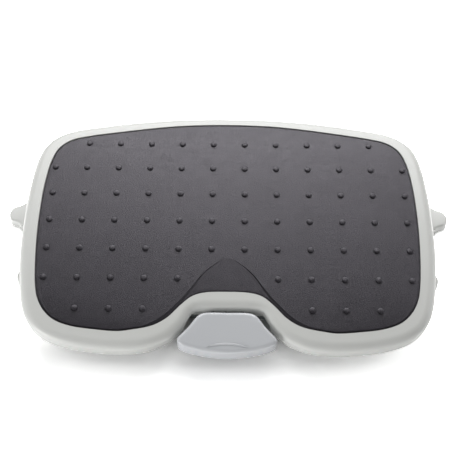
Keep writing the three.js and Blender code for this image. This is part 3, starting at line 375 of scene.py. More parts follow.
def raised(bm, outline, rings):
    """A skin of rings of one outline, each with an inset and a height over a place."""
    station = bm.verts.layers.int.get("station") or bm.verts.layers.int.new("station")
    ring = [bm.verts.new((p.x, p.y, 0)) for p in outline]
    for i, vert in enumerate(ring):
        vert[station] = i
    edges = [bm.edges.new((a, b)) for a, b in zip(ring, ring[1:] + ring[:1])]
    verts = ring
    levels = []
    for k, (step, height) in enumerate(rings):
        if k:
            grown = bmesh.ops.extrude_edge_only(bm, edges=edges)["geom"]
            verts = [g for g in grown if isinstance(g, bmesh.types.BMVert)]
            fresh = set(verts)
            edges = [g for g in grown if isinstance(g, bmesh.types.BMEdge)
                     and fresh.issuperset(g.verts)]
        places = inset(outline, step, 2 if len(outline) > BROAD_OUTLINE else 1)
        for vert in verts:
            place = places[vert[station]]
            vert.co = (place.x, place.y, height(place.x, place.y))
        levels.append(sorted(verts, key=lambda v: v[station]))
    return levels


def lid(bm, ring, height, strip=0):
    """Closes a ring with a face, cut into strips that follow the crown."""
    mark = bm.faces.layers.int.get("lid") or bm.faces.layers.int.new("lid")
    number = 1 + max((f[mark] for f in bm.faces), default=0)
    face = bm.faces.new(ring)
    face[mark] = number
    low, high = min(v.co.y for v in ring), max(v.co.y for v in ring)
    cuts = int((high - low) / strip) if strip else 0
    for k in range(1, cuts + 1):
        faces = [f for f in bm.faces if f[mark] == number]
        edges = list({e for f in faces for e in f.edges})
        verts = list({v for f in faces for v in f.verts})
        place = (0, low + (high - low) * k / (cuts + 1), 0)
        bmesh.ops.bisect_plane(
            bm, geom=faces + edges + verts, dist=CUT_SLOP, plane_co=place, plane_no=(0, 1, 0))
    for f in bm.faces:
        if f[mark] == number:
            for vert in f.verts:
                vert.co.z = height(vert.co.x, vert.co.y)


def closed_form(outline, rings, strip=0):
    """A closed body of rings, with both ends closed."""
    bm = bmesh.new()
    levels = raised(bm, outline, rings)
    lid(bm, levels[0], rings[0][1], strip)
    lid(bm, levels[-1], rings[-1][1], strip)
    bmesh.ops.recalc_face_normals(bm, faces=bm.faces)
    return bm


def from_object(obj):
    """A mesh of an object as its modifiers leave it."""
    graph = bpy.context.evaluated_depsgraph_get()
    bm = bmesh.new()
    bm.from_mesh(obj.evaluated_get(graph).to_mesh())
    return bm


def combined(first, others, operation="DIFFERENCE"):
    """A body with others cut from it, or joined to it."""
    objects = []
    for part in [first] + list(others):
        mesh = bpy.data.meshes.new("blank")
        part.to_mesh(mesh)
        part.free()
        objects.append(bpy.data.objects.new("blank", mesh))
        bpy.context.scene.collection.objects.link(objects[-1])
    for tool in objects[1:]:
        modifier = objects[0].modifiers.new("Cut", "BOOLEAN")
        modifier.operation, modifier.solver, modifier.object = operation, "EXACT", tool
    bpy.context.view_layer.update()
    result = from_object(objects[0])
    for obj in objects:
        mesh = obj.data
        bpy.data.objects.remove(obj)
        bpy.data.meshes.remove(mesh)
    return result


def block(low, high):
    """A block between two corners."""
    bm = bmesh.new()
    bmesh.ops.create_cube(bm, size=1)
    low, high = Vector(low), Vector(high)
    bmesh.ops.scale(bm, vec=high - low, verts=bm.verts)
    bmesh.ops.translate(bm, vec=(low + high) / 2, verts=bm.verts)
    return bm


def turned(profile, centre, axis="Z", segments=48):
    """A body of revolution from a profile of radius and height, about an axis through a centre."""
    bm = bmesh.new()
    verts = [bm.verts.new((radius, 0, height)) for radius, height in profile]
    edges = [bm.edges.new(pair) for pair in zip(verts, verts[1:])]
    bmesh.ops.spin(
        bm, geom=verts + edges, cent=(0, 0, 0), axis=(0, 0, 1), angle=math.tau,
        steps=segments, use_merge=True)
    bmesh.ops.remove_doubles(bm, verts=bm.verts, dist=DOUBLES)
    turn = {"X": Matrix.Rotation(QUARTER, 4, "Y"), "Z": Matrix.Identity(4)}[axis]
    bmesh.ops.transform(bm, matrix=Matrix.Translation(centre) @ turn, verts=bm.verts)
    bmesh.ops.recalc_face_normals(bm, faces=bm.faces)
    return bm


def chamfered(radius, low, high, edge):
    """The profile of a round bar with broken edges, as radius and height."""
    knee = edge * 0.3
    return [(0, low), (radius - edge, low), (radius - knee, low + knee), (radius, low + edge),
            (radius, high - edge), (radius - knee, high - knee), (radius - edge, high), (0, high)]


def added(bm, *others):
    """A mesh with the meshes of others beside it."""
    for other in others:
        mesh = bpy.data.meshes.new("blank")
        other.to_mesh(mesh)
        other.free()
        bm.from_mesh(mesh)
        bpy.data.meshes.remove(mesh)
    return bm


def span(node, place=None):
    """Lowest and highest corner of a node, in millimetres, in the frame of a place."""
    back = place.inverted() if place else Matrix.Identity(4)
    points = [back @ (v.co / MM) for v in frame["nodes"][node].data.vertices]
    low = Vector(min(p[i] for p in points) for i in range(3))
    high = Vector(max(p[i] for p in points) for i in range(3))
    return low, high


def middle(node, place=None):
    """The middle of a node, in millimetres, in the frame of a place."""
    low, high = span(node, place)
    return (low + high) / 2


def on_axis(node, place=None):
    """The point of a sideways axis through a node that lies in the middle plane."""
    at = middle(node, place)
    return (0, at.y, at.z)


def piece(name, bm, body, materials, replaces, place=None, crease=30):
    """Makes a finished object of a mesh in millimetres, riding on a body if one is named."""
    if place:
        bmesh.ops.transform(bm, matrix=place, verts=bm.verts)
    bmesh.ops.scale(bm, vec=(MM, MM, MM), verts=bm.verts)
    limit = math.radians(crease)
    for face in bm.faces:
        face.smooth = True
    for edge in bm.edges:
        edge.smooth = len(edge.link_faces) == 2 and edge.calc_face_angle(0) < limit
    mesh = bpy.data.meshes.new(name)
    bm.to_mesh(mesh)
    bm.free()
    for extra in ("station", "lid"):
        if extra in mesh.attributes:
            mesh.attributes.remove(mesh.attributes[extra])
    for entry in materials:
        mesh.materials.append(entry)
    obj = bpy.data.objects.new(name, mesh)
    bpy.context.scene.collection.objects.link(obj)
    if body:
        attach(obj, body)
    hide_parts(*replaces)
    return obj


def body_of(node):
    """The body that a node rides on."""
    return frame["nodes"][node]["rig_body"]


def broken_edges(node):
    """A copy of a node's solid with its corners merged and its edges rounded, in millimetres."""
    bm = bmesh.new()
    bm.from_mesh(frame["nodes"][node].data)
    bmesh.ops.scale(bm, vec=(1 / MM,) * 3, verts=bm.verts)
    bmesh.ops.remove_doubles(bm, verts=bm.verts, dist=WELD)
    bmesh.ops.dissolve_limit(bm, angle_limit=FLAT_ANGLE, verts=bm.verts, edges=bm.edges)
    sharp = [e for e in bm.edges if len(e.link_faces) == 2
             and e.calc_face_angle(0) > SHARP_ANGLE]
    bmesh.ops.bevel(
        bm, geom=sharp, offset=millimetres(sizes().edge_break), affect="EDGES", segments=2,
        profile=0.5, material=-1, clamp_overlap=True)
    return bm


# Finishes


def add_node(tree, kind, settings=None, links=None):
    """Adds a node, sets its settings, sockets and colour stops, and links its inputs.

    An input linked to a node takes that node's first output.
    """
    node = tree.nodes.new(kind)
    for key, value in (settings or {}).items():
        if key == "stops":
            elements = node.color_ramp.elements
            while len(elements) < len(value):
                elements.new(0.5)
            for element, (place, colour) in zip(elements, value):
                element.position, element.color = place, colour
        elif isinstance(key, str) and hasattr(node, key):
            setattr(node, key, value)
        else:
            node.inputs[key].default_value = value
    for key, source in (links or {}).items():
        output = source.outputs[0] if isinstance(source, bpy.types.Node) else source
        tree.links.new(output, node.inputs[key])
    return node


def dressed(name, build, *values):
    """A material whose shader is built on the object's own coordinates."""
    material = bpy.data.materials.new(name)
    material.use_nodes = True
    tree = material.node_tree
    tree.nodes.clear()
    place = add_node(tree, "ShaderNodeTexCoord").outputs["Object"]
    shader = build(tree, place, *values)
    add_node(tree, "ShaderNodeOutputMaterial", None, {"Surface": shader})
    return material


def shade(colour, factor):
    """A colour made darker or lighter."""
    return [min(c * factor, 1) for c in colour[:3]] + [1.0]


def grey(value):
    """A value as a colour, for a stop that sets a roughness or a height."""
    return [value, value, value, 1.0]


def moulded_abs(tree, place, base, rough):
    """ABS, injection moulded in a fine spark-eroded tool: pale, satin, faintly uneven."""
    # flow of the melt shows as a faint change of tone over some 90 mm
    flow = add_node(tree, "ShaderNodeTexNoise", {"Scale": 11, "Detail": 3}, {"Vector": place})
    tone = add_node(
        tree, "ShaderNodeValToRGB",
        {"stops": [(0.3, shade(base, 0.972)), (0.7, shade(base, 1.012))]}, {"Fac": flow})
    # tool grain of 0.3 mm is drawn at 0.7 mm so that it shows
    grain = add_node(tree, "ShaderNodeTexNoise", {"Scale": 1400, "Detail": 2}, {"Vector": place})
    # handling marks, 25 mm across, change the gloss a little
    marks = add_node(tree, "ShaderNodeTexNoise", {"Scale": 40, "Detail": 4}, {"Vector": place})
    gloss = add_node(
        tree, "ShaderNodeValToRGB",
        {"stops": [(0.35, grey(rough)), (0.7, grey(rough + 0.04))]}, {"Fac": marks})
    bump = add_node(
        tree, "ShaderNodeBump", {"Strength": 0.05, "Distance": 0.0002}, {"Height": grain})
    return add_node(
        tree, "ShaderNodeBsdfPrincipled", {"IOR": 1.53, "Specular IOR Level": 0.5},
        {"Base Color": tone, "Roughness": gloss, "Normal": bump})


def pad_rubber(tree, place, base):
    """Thermoplastic rubber, moulded with a leather grain: dark, with a soft gloss."""
    # leather cells of 0.8 mm are drawn at 1.4 mm so that they show
    cells = add_node(
        tree, "ShaderNodeTexVoronoi", {"feature": "DISTANCE_TO_EDGE", "Scale": 700},
        {"Vector": place})
    veins = add_node(
        tree, "ShaderNodeValToRGB", {"stops": [(0.0, grey(0.0)), (0.18, grey(1.0))]},
        {"Fac": cells})
    # moulding cloud, some 35 mm across
    cloud = add_node(
        tree, "ShaderNodeTexNoise", {"Scale": 28, "Detail": 5, "Roughness": 0.6},
        {"Vector": place})
    tone = add_node(
        tree, "ShaderNodeValToRGB",
        {"stops": [(0.3, shade(base, 0.8)), (0.7, shade(base, 1.2))]}, {"Fac": cloud})
    # flow marks across the pad, some 20 mm by 4 mm
    stretched = add_node(tree, "ShaderNodeMapping", {"Scale": (50, 250, 250)}, {"Vector": place})
    marks = add_node(
        tree, "ShaderNodeTexNoise", {"Scale": 1, "Detail": 4, "Roughness": 0.7},
        {"Vector": stretched})
    gloss = add_node(
        tree, "ShaderNodeValToRGB", {"stops": [(0.3, grey(0.33)), (0.7, grey(0.46))]},
        {"Fac": marks})
    bump = add_node(
        tree, "ShaderNodeBump", {"Strength": 0.45, "Distance": 0.0003}, {"Height": veins})
    return add_node(
        tree, "ShaderNodeBsdfPrincipled",
        {"IOR": 1.5, "Specular IOR Level": 0.62, "Specular Tint": linear("faf5ff")},
        {"Base Color": tone, "Roughness": gloss, "Normal": bump})


def floor_rubber(tree, place, base):
    """Nitrile rubber, moulded: near black and dull, with dust in its fine grain."""
    # grain and dust, 3 mm across
    dust = add_node(tree, "ShaderNodeTexNoise", {"Scale": 320, "Detail": 5}, {"Vector": place})
    tone = add_node(
        tree, "ShaderNodeValToRGB", {"stops": [(0.4, base[:]), (0.75, shade(base, 1.9))]},
        {"Fac": dust})
    bump = add_node(
        tree, "ShaderNodeBump", {"Strength": 0.25, "Distance": 0.0003}, {"Height": dust})
    return add_node(
        tree, "ShaderNodeBsdfPrincipled", {"Roughness": 0.82, "IOR": 1.5},
        {"Base Color": tone, "Normal": bump})


def powder_coat(tree, place, base):
    """Mild steel, powder coated black: semi-matt, with orange peel about 1.5 mm across."""
    peel = add_node(tree, "ShaderNodeTexNoise", {"Scale": 650, "Detail": 2}, {"Vector": place})
    # uneven spray, 11 mm across
    spray = add_node(tree, "ShaderNodeTexNoise", {"Scale": 90, "Detail": 6}, {"Vector": place})
    tone = add_node(
        tree, "ShaderNodeValToRGB",
        {"stops": [(0.35, shade(base, 0.85)), (0.7, shade(base, 1.2))]}, {"Fac": spray})
    gloss = add_node(
        tree, "ShaderNodeValToRGB", {"stops": [(0.3, grey(0.42)), (0.7, grey(0.56))]},
        {"Fac": spray})
    bump = add_node(
        tree, "ShaderNodeBump", {"Strength": 0.2, "Distance": 0.0003}, {"Height": peel})
    return add_node(
        tree, "ShaderNodeBsdfPrincipled", {"IOR": 1.5},
        {"Base Color": tone, "Roughness": gloss, "Normal": bump})


def drawn_metal(tree, place, base, across, rough):
    """Drawn steel: metallic, with fine draw lines along the bar and a clouded plating."""
    stretched = add_node(tree, "ShaderNodeMapping", {"Scale": across}, {"Vector": place})
    lines = add_node(tree, "ShaderNodeTexNoise", {"Scale": 60, "Detail": 4}, {"Vector": stretched})
    # clouds of the plating, 8 mm across
    cloud = add_node(tree, "ShaderNodeTexNoise", {"Scale": 120, "Detail": 4}, {"Vector": place})
    tone = add_node(
        tree, "ShaderNodeValToRGB",
        {"stops": [(0.3, shade(base, 0.88)), (0.7, shade(base, 1.04))]}, {"Fac": cloud})
    gloss = add_node(
        tree, "ShaderNodeValToRGB",
        {"stops": [(0.3, grey(rough - 0.07)), (0.7, grey(rough + 0.09))]}, {"Fac": lines})
    bump = add_node(
        tree, "ShaderNodeBump", {"Strength": 0.08, "Distance": 0.0001}, {"Height": lines})
    return add_node(
        tree, "ShaderNodeBsdfPrincipled", {"Metallic": 1.0},
        {"Base Color": tone, "Roughness": gloss, "Normal": bump})


def natural_nylon(tree, place, base):
    """Nylon 6, unfilled: creamy, waxy, with light entering a little."""
    # cloud of the cooled melt, 7 mm across
    cloud = add_node(tree, "ShaderNodeTexNoise", {"Scale": 140, "Detail": 3}, {"Vector": place})
    tone = add_node(
        tree, "ShaderNodeValToRGB",
        {"stops": [(0.3, shade(base, 0.93)), (0.7, shade(base, 1.03))]}, {"Fac": cloud})
    return add_node(
        tree, "ShaderNodeBsdfPrincipled",
        {"Roughness": 0.38, "IOR": 1.53, "Subsurface Weight": 0.08, "Subsurface Scale": 0.002},
        {"Base Color": tone})


def filled_nylon(tree, place, base):
    """Nylon 66 with glass fibre, moulded: dark grey, with short pale fibres at its surface."""
    # fibre bundles of 0.5 mm by 4 mm
    stretched = add_node(
        tree, "ShaderNodeMapping", {"Scale": (250, 2000, 2000)}, {"Vector": place})
    fibres = add_node(tree, "ShaderNodeTexNoise", {"Scale": 1, "Detail": 3}, {"Vector": stretched})
    tone = add_node(
        tree, "ShaderNodeValToRGB", {"stops": [(0.45, base[:]), (0.8, shade(base, 1.7))]},
        {"Fac": fibres})
    bump = add_node(
        tree, "ShaderNodeBump", {"Strength": 0.15, "Distance": 0.0002}, {"Height": fibres})
    return add_node(
        tree, "ShaderNodeBsdfPrincipled", {"Roughness": 0.55, "IOR": 1.53},
        {"Base Color": tone, "Normal": bump})


def brake_fibre(tree, place, base):
    """Resin-bonded friction fibre, pressed: brown and dull, flecked with brass."""
    # flecks 1.1 mm apart
    flecks = add_node(
        tree, "ShaderNodeTexVoronoi", {"Scale": 900, "Randomness": 1.0}, {"Vector": place})
    tone = add_node(
        tree, "ShaderNodeValToRGB",
        {"stops": [(0.08, linear("b08a4a")), (0.16, base[:]), (0.6, shade(base, 0.7))]},
        {"Fac": flecks})
    bump = add_node(
        tree, "ShaderNodeBump", {"Strength": 0.4, "Distance": 0.0003}, {"Height": flecks})
    return add_node(
        tree, "ShaderNodeBsdfPrincipled", {"Roughness": 0.88},
        {"Base Color": tone, "Normal": bump})


# Each slot's material, what builds it, its colour, and what else it takes
FINISHES = {
    "light_plastic": ("satin_moulded_abs", moulded_abs, "moulding", 0.38),
    # the pedal comes from a more finely polished tool
    "pedal": ("polished_moulded_abs", moulded_abs, "pedal", 0.22),
    "pad_rubber": ("grained_thermoplastic_rubber", pad_rubber, "pad"),
    "floor_rubber": ("moulded_nitrile_rubber", floor_rubber, "feet"),
    "painted_steel": ("powder_coated_steel", powder_coat, "paint"),
    # draw lines 0.3 mm apart round the bar, 20 times as long along it
    "zinc_steel": ("zinc_plated_steel", drawn_metal, "zinc", (2.5, 50, 50), 0.34),
    "spring_steel": ("oiled_spring_wire", drawn_metal, "spring", (20, 20, 20), 0.30),
    "nylon": ("natural_nylon", natural_nylon, "nylon"),
    "dark_plastic": ("glass_filled_nylon", filled_nylon, "housing"),
    "brake_lining": ("pressed_friction_fibre", brake_fibre, "fibre"),
}
made = {}


def finish(slot):
    """The finish of a slot, made once."""
    if slot not in made:
        name, build, colour, *values = FINISHES[slot]
        made[slot] = dressed(name, build, getattr(colours(), colour), *values)
    return made[slot]


def slot_of(node):
    """The material slot that the record gives a node."""
    entries = frame["record"]["subparts"]
    return next(e["material_slot"] for e in entries if e["node"] == node)


def stand_for(node, bm, place=None, crease=30):
    """Makes the finished piece that stands for one node."""
    slot = slot_of(node)
    material = finish(node if node in FINISHES else slot)
    return piece(node + "_fine", bm, body_of(node), [material], [node], place, crease)


# Pieces. Their sizes and places are in millimetres

DEEP = 40  # a drop well below every moulding
HIGH = 12  # a height well above the pad
STRIP = 10  # width of the strips in which a broad face follows the crown

SHELL_DRAFT = 1.5  # how far the platform's walls lean in at their foot
PAD_GAP = 0.3  # room under the pad
SHELL_CORNER = 1.2  # slope between the platform's walls and its plate
FLAT_RING = 1.5  # a level ring inside a rounding, so that the rounding's shade ends there
PLATE_BITE = 1.5  # how far bosses go into the plate
# the pad's recess, as an inset from the pad's outline and a drop from the crown, over its floor
RECESS_EDGE = [(-0.7, 0.5), (-0.8, 0.2), (-1.05, 0.02), (-1.3, -4)]
SCREW_BOSS, SCREW_GRIP = 5, 3.7
# the studs that hold the brake's guide: radius, stake and head, and their places in its flange
STUD, STAKE, STAKE_HEAD = 3.5, 2, 3.1
STAKE_LENGTH, HEAD_THICKNESS = 3.8, 1.2
STAKE_SIDE, STAKE_END = 6.6, 7

FLANGE_OUT = 0.5  # how far the pad's flange of dark rubber reaches under the gap, a dark sheet put there so that the gap reads black as painted shade
LOW = 9  # a drop well below the pad
SCOOP_LIP = 2.2  # slope between the pad's surface and the scoop
SCOOP_OVERLAP = 0.4
PAD_CREASE = 35  # degrees

STUD_GRID = 8  # cells in which the points of the solid's studs are gathered
STUD_APART, STUD_REACH = 20, 10  # no two studs are nearer, and no point of one is further
BUMP_SINK, BUMP_SEAM = 1.2, 0.02  # how far a bump's foot and its edge lie in the pad
BUMP_STEPS, BUMP_FULLNESS = 7, 0.7

PEDAL_WALL = 2.6
PEDAL_SPREAD = 1.3  # width of the pedal's rounding as a share of its height
DOOR_HALF, DOOR_REACH = 25.5, 8  # the opening in the pedal's back wall
CHEEK, CHEEK_RADIUS, GUSSET_REACH = 4, 6, 14
CRESCENT_PLACE, CRESCENT_HALF, CRESCENT_SAG, CRESCENT_WIDTH = 6.2, 24.3, 4.4, 1.5
CRESCENT_STEPS = 8
CRESCENT_ROOT, CRESCENT_HEIGHT = 1, 2.2

BASE_INNER, BASE_OUTER, BASE_FRONT, BASE_WAIST = 195, 231, -130, 239
BASE_CORNER, BASE_LIFT, BASE_WALL = 13, 2.3, 3
LOBE_RADIUS, LOBE_ANGLES = 16, (-85, -42, 0, 42, 85)
BEYOND = 9  # the hollow opens this far past the inner side
LUG_RADIUS, LUG_DEPTH, LUG_FOOT, LUG_TOP = 12, 14, 24, 12
CAP_RADIUS, CAP_DEPTH = 9.4, 8
RIB_PITCH, RIB_HALF = 44, 1.2
SEAT_OUTER, SEAT_INNER, SEAT_DEPTH = 13.3, 10.5, 2

# profile of a floor pad's tread, as radius and height
TREAD = [(0, 0.5), (2.4, 0.5), (2.8, 0), (5.2, 0), (5.5, 0.8), (6.6, 0.8), (6.9, 0)]

SHAFT_BORE, AXLE_BORE = 6.35, 4.4
BUSH_RADIUS, BUSH_FLANGE, BUSH_FLANGE_WIDTH, BUSH_OVERLAP = 8, 10.5, 6.4, 0.4
COLLAR_RADIUS = 11
AXLE_CAP_RADIUS, AXLE_CAP_HEAD, AXLE_CAP_STEM = 9, 3, 3.9
TUBE_EDGE = 0.4

# profile of a pan head, as radius and height, and what its screw has besides
PAN_HEAD = [(0, 0), (2.4, 0), (3.3, 0.4), (3.6, 1.1), (3.6, 1.8), (1.9, 1.8)]
SHANK, SHANK_TIP, SHANK_TAPER = 1.9, 1.2, 0.5
SOCKET, SOCKET_DEPTH = 1.45, 2.4

COIL_STEPS = 24
BRAKE_WIRE, BRAKE_TURNS, BRAKE_HOLD = 0.6, 5, 1.2
RETURN_WIRE, RETURN_RADIUS, RETURN_LENGTH, RETURN_TURNS = 0.5, 3.9, 6, 4
ASSIST_WIRE, ASSIST_RADIUS, ASSIST_LENGTH, ASSIST_TURNS = 1.3, 9.4, 21, 5
ASSIST_START, ASSIST_LEG, ASSIST_SPLAY = 148, 42, 5.2
ARM_HALF, ARM_GAP = 7, 0.3


def crown_less(drop):
    """The height of the crown, less a drop."""
    return lambda x, y: crown(y) - drop


def below(top, drop):
    """A height less a drop."""
    return lambda x, y: top(x, y) - drop


def flat(z):
    """The same height everywhere."""
    return lambda x, y: z


def quarter_roll(width, height, steps, start=0, top=crown_less(0)):
    """Rings of a rounding from a wall over to a top, as an inset and a height."""
    rings = []
    for k in range(steps + 1):
        angle = QUARTER * k / steps
        rings.append((start + width * (1 - math.cos(angle)),
                      below(top, height * (1 - math.sin(angle)))))
    return rings


def boss(x, y, radius, low, high):
    """An upright boss with broken edges."""
    return turned(chamfered(radius, low, high, 0.4), (x, y, 0), segments=24)


class FOOTREST_OT_platform_shell(bpy.types.Operator):
    """Moulds the platform: rolled rim, pad recess, skirt, plate, bosses and pedal window"""

    bl_idname = "footrest.platform_shell"
    bl_label = "Platform shell"

    def execute(self, context):
        s = sizes()
        outline = rim_outline()
        skirt, wall = millimetres(s.skirt), millimetres(s.wall)
        roll_width, roll_height = millimetres(s.roll_width), millimetres(s.roll_height)
        recess_floor = millimetres(s.pad_thickness) + PAD_GAP

        def lower_edge(x, y):
            over_window = abs(x) < WINDOW_HALF and -WINDOW_REACH < y - NOTCH_BACK < WINDOW_BACK
            return -WINDOW_DROP if over_window else crown(y) - skirt

        rings = [(SHELL_DRAFT, lower_edge), (SHELL_DRAFT * 0.75, below(lower_edge, -0.5))]
        rings += quarter_roll(roll_width, roll_height, 10)
        rings += [(roll_width + FLAT_RING, crown_less(0))]
        outer = closed_form(outline, rings, STRIP)
        lip = [(RECESS_EDGE[0][0], crown_less(recess_floor))]
        lip += [(step, crown_less(drop)) for step, drop in RECESS_EDGE]
        recess = closed_form(pad_outline(), lip, STRIP)
        inner = wall + SHELL_DRAFT
        hollow = closed_form(
            outline,
            [(inner, crown_less(DEEP)), (inner, crown_less(recess_floor + wall + SHELL_CORNER)),
             (inner + SHELL_CORNER, crown_less(recess_floor + wall))], STRIP)
        body = combined(outer, [recess, hollow])
        stand_for("platform_shell", added(body, *self.seats(recess_floor)), platform_place())
        return {"FINISHED"}

    def seats(self, recess_floor):
        """Bosses for the screws of brackets and yoke, and studs for the brake's guide."""
        place = platform_place()
        screws = [f"bracket_screw_{side}_{end}" for side in SIDES for end in ("front", "rear")]
        bosses = []
        for node in screws + ["yoke_screw_left", "yoke_screw_right"]:
            at, top = middle(node, place), span(node, place)[1].z
            bosses.append(boss(at.x, at.y, SCREW_BOSS, top - SCREW_GRIP,
                               crown(at.y) - recess_floor - PLATE_BITE))
        low, high = span("brake_guide", place)
        foot = high.z - STAKE_LENGTH
        for x in (low.x + STAKE_SIDE, high.x - STAKE_SIDE):
            for y in (low.y + STAKE_END, high.y - STAKE_END):
                plate = crown(y) - recess_floor - PLATE_BITE
                bosses.append(boss(x, y, STUD, high.z + 0.3, plate))
                bosses.append(boss(x, y, STAKE, foot, high.z + 1))
                bosses.append(boss(x, y, STAKE_HEAD, foot, foot + HEAD_THICKNESS))
        return bosses


class FOOTREST_OT_foot_pad(bpy.types.Operator):
    """Moulds the rubber pad with its scoop and its round bumps"""

    bl_idname = "footrest.foot_pad"
    bl_label = "Foot pad"

    def execute(self, context):
        s = sizes()
        edge, thickness = millimetres(s.pad_edge), millimetres(s.pad_thickness)
        apex = PAD_NOTCH_EDGE + SCOOP_LENGTH
        depth = millimetres(s.scoop_depth)

        def floor(x, y):
            """Falls from the apex to the notch's edge, and then follows the crown."""
            share = min(max((apex - y) / SCOOP_LENGTH, -1), 1)
            return crown(y) - depth * share

        def sheet(flange, top, strip):
            """The whole pad: a thin flange of dark rubber under the gap round it, put there as
            painted shade so that the gap reads black, and a rounded edge.
            """
            rings = [(-FLANGE_OUT, crown_less(thickness)),
                     (-FLANGE_OUT, crown_less(thickness - flange)),
                     (SLACK, crown_less(thickness - flange - 0.2))]
            return closed_form(
                pad_outline(), rings + quarter_roll(edge, edge, 4, SLACK, top), strip)

        # the bell is cut from the pad, and its lower surface fills the place of the cut
        bell = scoop_outline()
        cutter = closed_form(
            bell, [(0, crown_less(LOW)), (0, floor), (-SCOOP_LIP, below(floor, -SCOOP_LIP)),
                   (-SCOOP_LIP, flat(HIGH))], 6)
        pad = combined(sheet(0.9, crown_less(0), 8), [cutter])
        column = closed_form(
            bell, [(-SCOOP_OVERLAP, crown_less(LOW)), (-SCOOP_OVERLAP, flat(HIGH))])
        insert = combined(sheet(0.6, floor, 6), [column], "INTERSECT")
        stand_for("foot_pad", added(pad, insert, self.bumps()), platform_place(), PAD_CREASE)
        return {"FINISHED"}

    def bumps(self):
        """Round bumps where the pad's solid has its studs."""
        s = sizes()
        radius, height = millimetres(s.bump_radius), millimetres(s.bump_height)
        back = platform_place().inverted()
        tops = {}
        for vert in frame["nodes"]["foot_pad"].data.vertices:
            at = back @ (vert.co / MM)
            if at.z > crown(at.y) + height / 2:
                cell = (round(at.x / STUD_GRID), round(at.y / STUD_GRID))
                tops.setdefault(cell, []).append(at)
        places = []
        for corners in tops.values():
            centre = sum(corners, Vector()) / len(corners)
            if all((centre - other).length > STUD_APART for other in places):
                places.append(centre)
        near = [[c for group in tops.values() for c in group if (c - p).length < STUD_REACH]
                for p in places]
        places = [sum(group, Vector()) / len(group) for group in near]
        profile = [(0, -BUMP_SINK), (radius, -BUMP_SINK), (radius, -BUMP_SEAM)]
        for k in range(1, BUMP_STEPS):
            angle = QUARTER * k / BUMP_STEPS
            rise = math.sin(angle) ** BUMP_FULLNESS
            profile.append((radius * math.cos(angle), height * rise))
        dome = turned(profile + [(0, height)], (0, 0, 0), segments=20)
        field = bmesh.new()
        for at in places:
            turn = Matrix.Rotation(-at.y / millimetres(s.crown), 4, "X")
            one = dome.copy()
            move = Matrix.Translation((at.x, at.y, crown(at.y))) @ turn
            bmesh.ops.transform(one, matrix=move, verts=one.verts)
            added(field, one)
        dome.free()
        return field


class FOOTREST_OT_pedal(bpy.types.Operator):
    """Moulds the pedal: rolled edge, thin walls, crescent ridge, cheeks and crank hubs"""

    bl_idname = "footrest.pedal"
    bl_label = "Pedal"

    def execute(self, context):
        s = sizes()
        outline = pedal_outline()
        roll, skirt = millimetres(s.pedal_roll), millimetres(s.pedal_skirt)
        width, wall = roll * PEDAL_SPREAD, PEDAL_WALL

        def lower_edge(x, y):
            over_door = abs(x) < DOOR_HALF and y > PEDAL_BACK - DOOR_REACH
            return -WINDOW_DROP if over_door else crown(y) - skirt

        rings = [(0.3, lower_edge), (0, below(lower_edge, -0.4))]
        rings += quarter_roll(width, roll, 8) + [(width + 1.2, crown_less(0))]
        outer = closed_form(outline, rings, 6)
        hollow = closed_form(
            outline, [(wall, crown_less(DEEP)), (wall, crown_less(wall + 1)),
                      (wall + 1, crown_less(wall))], 6)
        body = combined(outer, [hollow])
        place = platform_place()
        pivot = middle("pedal_pin", place)
        end = span("crank_pin", place)[1].x
        cheeks = []
        for side in SIDES.values():
            x0, x1 = sorted((side * (end - CHEEK), side * end))
            back = pivot.y + CHEEK_RADIUS
            top = crown(pivot.y) - wall / 2
            cheeks.append(block((x0, pivot.y - CHEEK_RADIUS, pivot.z), (x1, back, top)))
            hub = chamfered(CHEEK_RADIUS, x0, x1, 0.4)
            cheeks.append(turned(hub, (0, pivot.y, pivot.z), "X", 32))
            front = pivot.y - GUSSET_REACH
            low = crown(front) - wall / 2
            cheeks.append(block((x0, front, low - 6), (x1, back, low)))
        stand_for("pedal", added(body, self.crescent(), *cheeks), place)
        return {"FINISHED"}

    def crescent(self):
        """The crescent ridge near the front edge: a grip for the toe."""
        y = PEDAL_BACK - PEDAL_DEPTH + CRESCENT_PLACE
        steps = CRESCENT_STEPS
        far = [(CRESCENT_HALF * (k / steps - 1), k / steps - 1) for k in range(2 * steps + 1)]
        ring = [(x, y + (CRESCENT_SAG + CRESCENT_WIDTH) * (1 - u * u)) for x, u in far]
        ring += [(x, y + (CRESCENT_SAG - CRESCENT_WIDTH) * (1 - u * u))
                 for x, u in reversed(far[1:-1])]
        bm = bmesh.new()
        base = bm.faces.new([bm.verts.new((x, at, crown(y) - CRESCENT_ROOT)) for x, at in ring])
        grown = bmesh.ops.extrude_face_region(bm, geom=[base])["geom"]
        top = [g for g in grown if isinstance(g, bmesh.types.BMVert)]
        bmesh.ops.translate(bm, vec=(0, 0, CRESCENT_HEIGHT), verts=top)
        upper = {e for v in top for e in v.link_edges if all(w in top for w in e.verts)}
        bmesh.ops.bevel(
            bm, geom=list(upper), offset=0.5, affect="EDGES", segments=3, profile=0.5,
            material=-1)
        bmesh.ops.recalc_face_normals(bm, faces=bm.faces)
        return bm


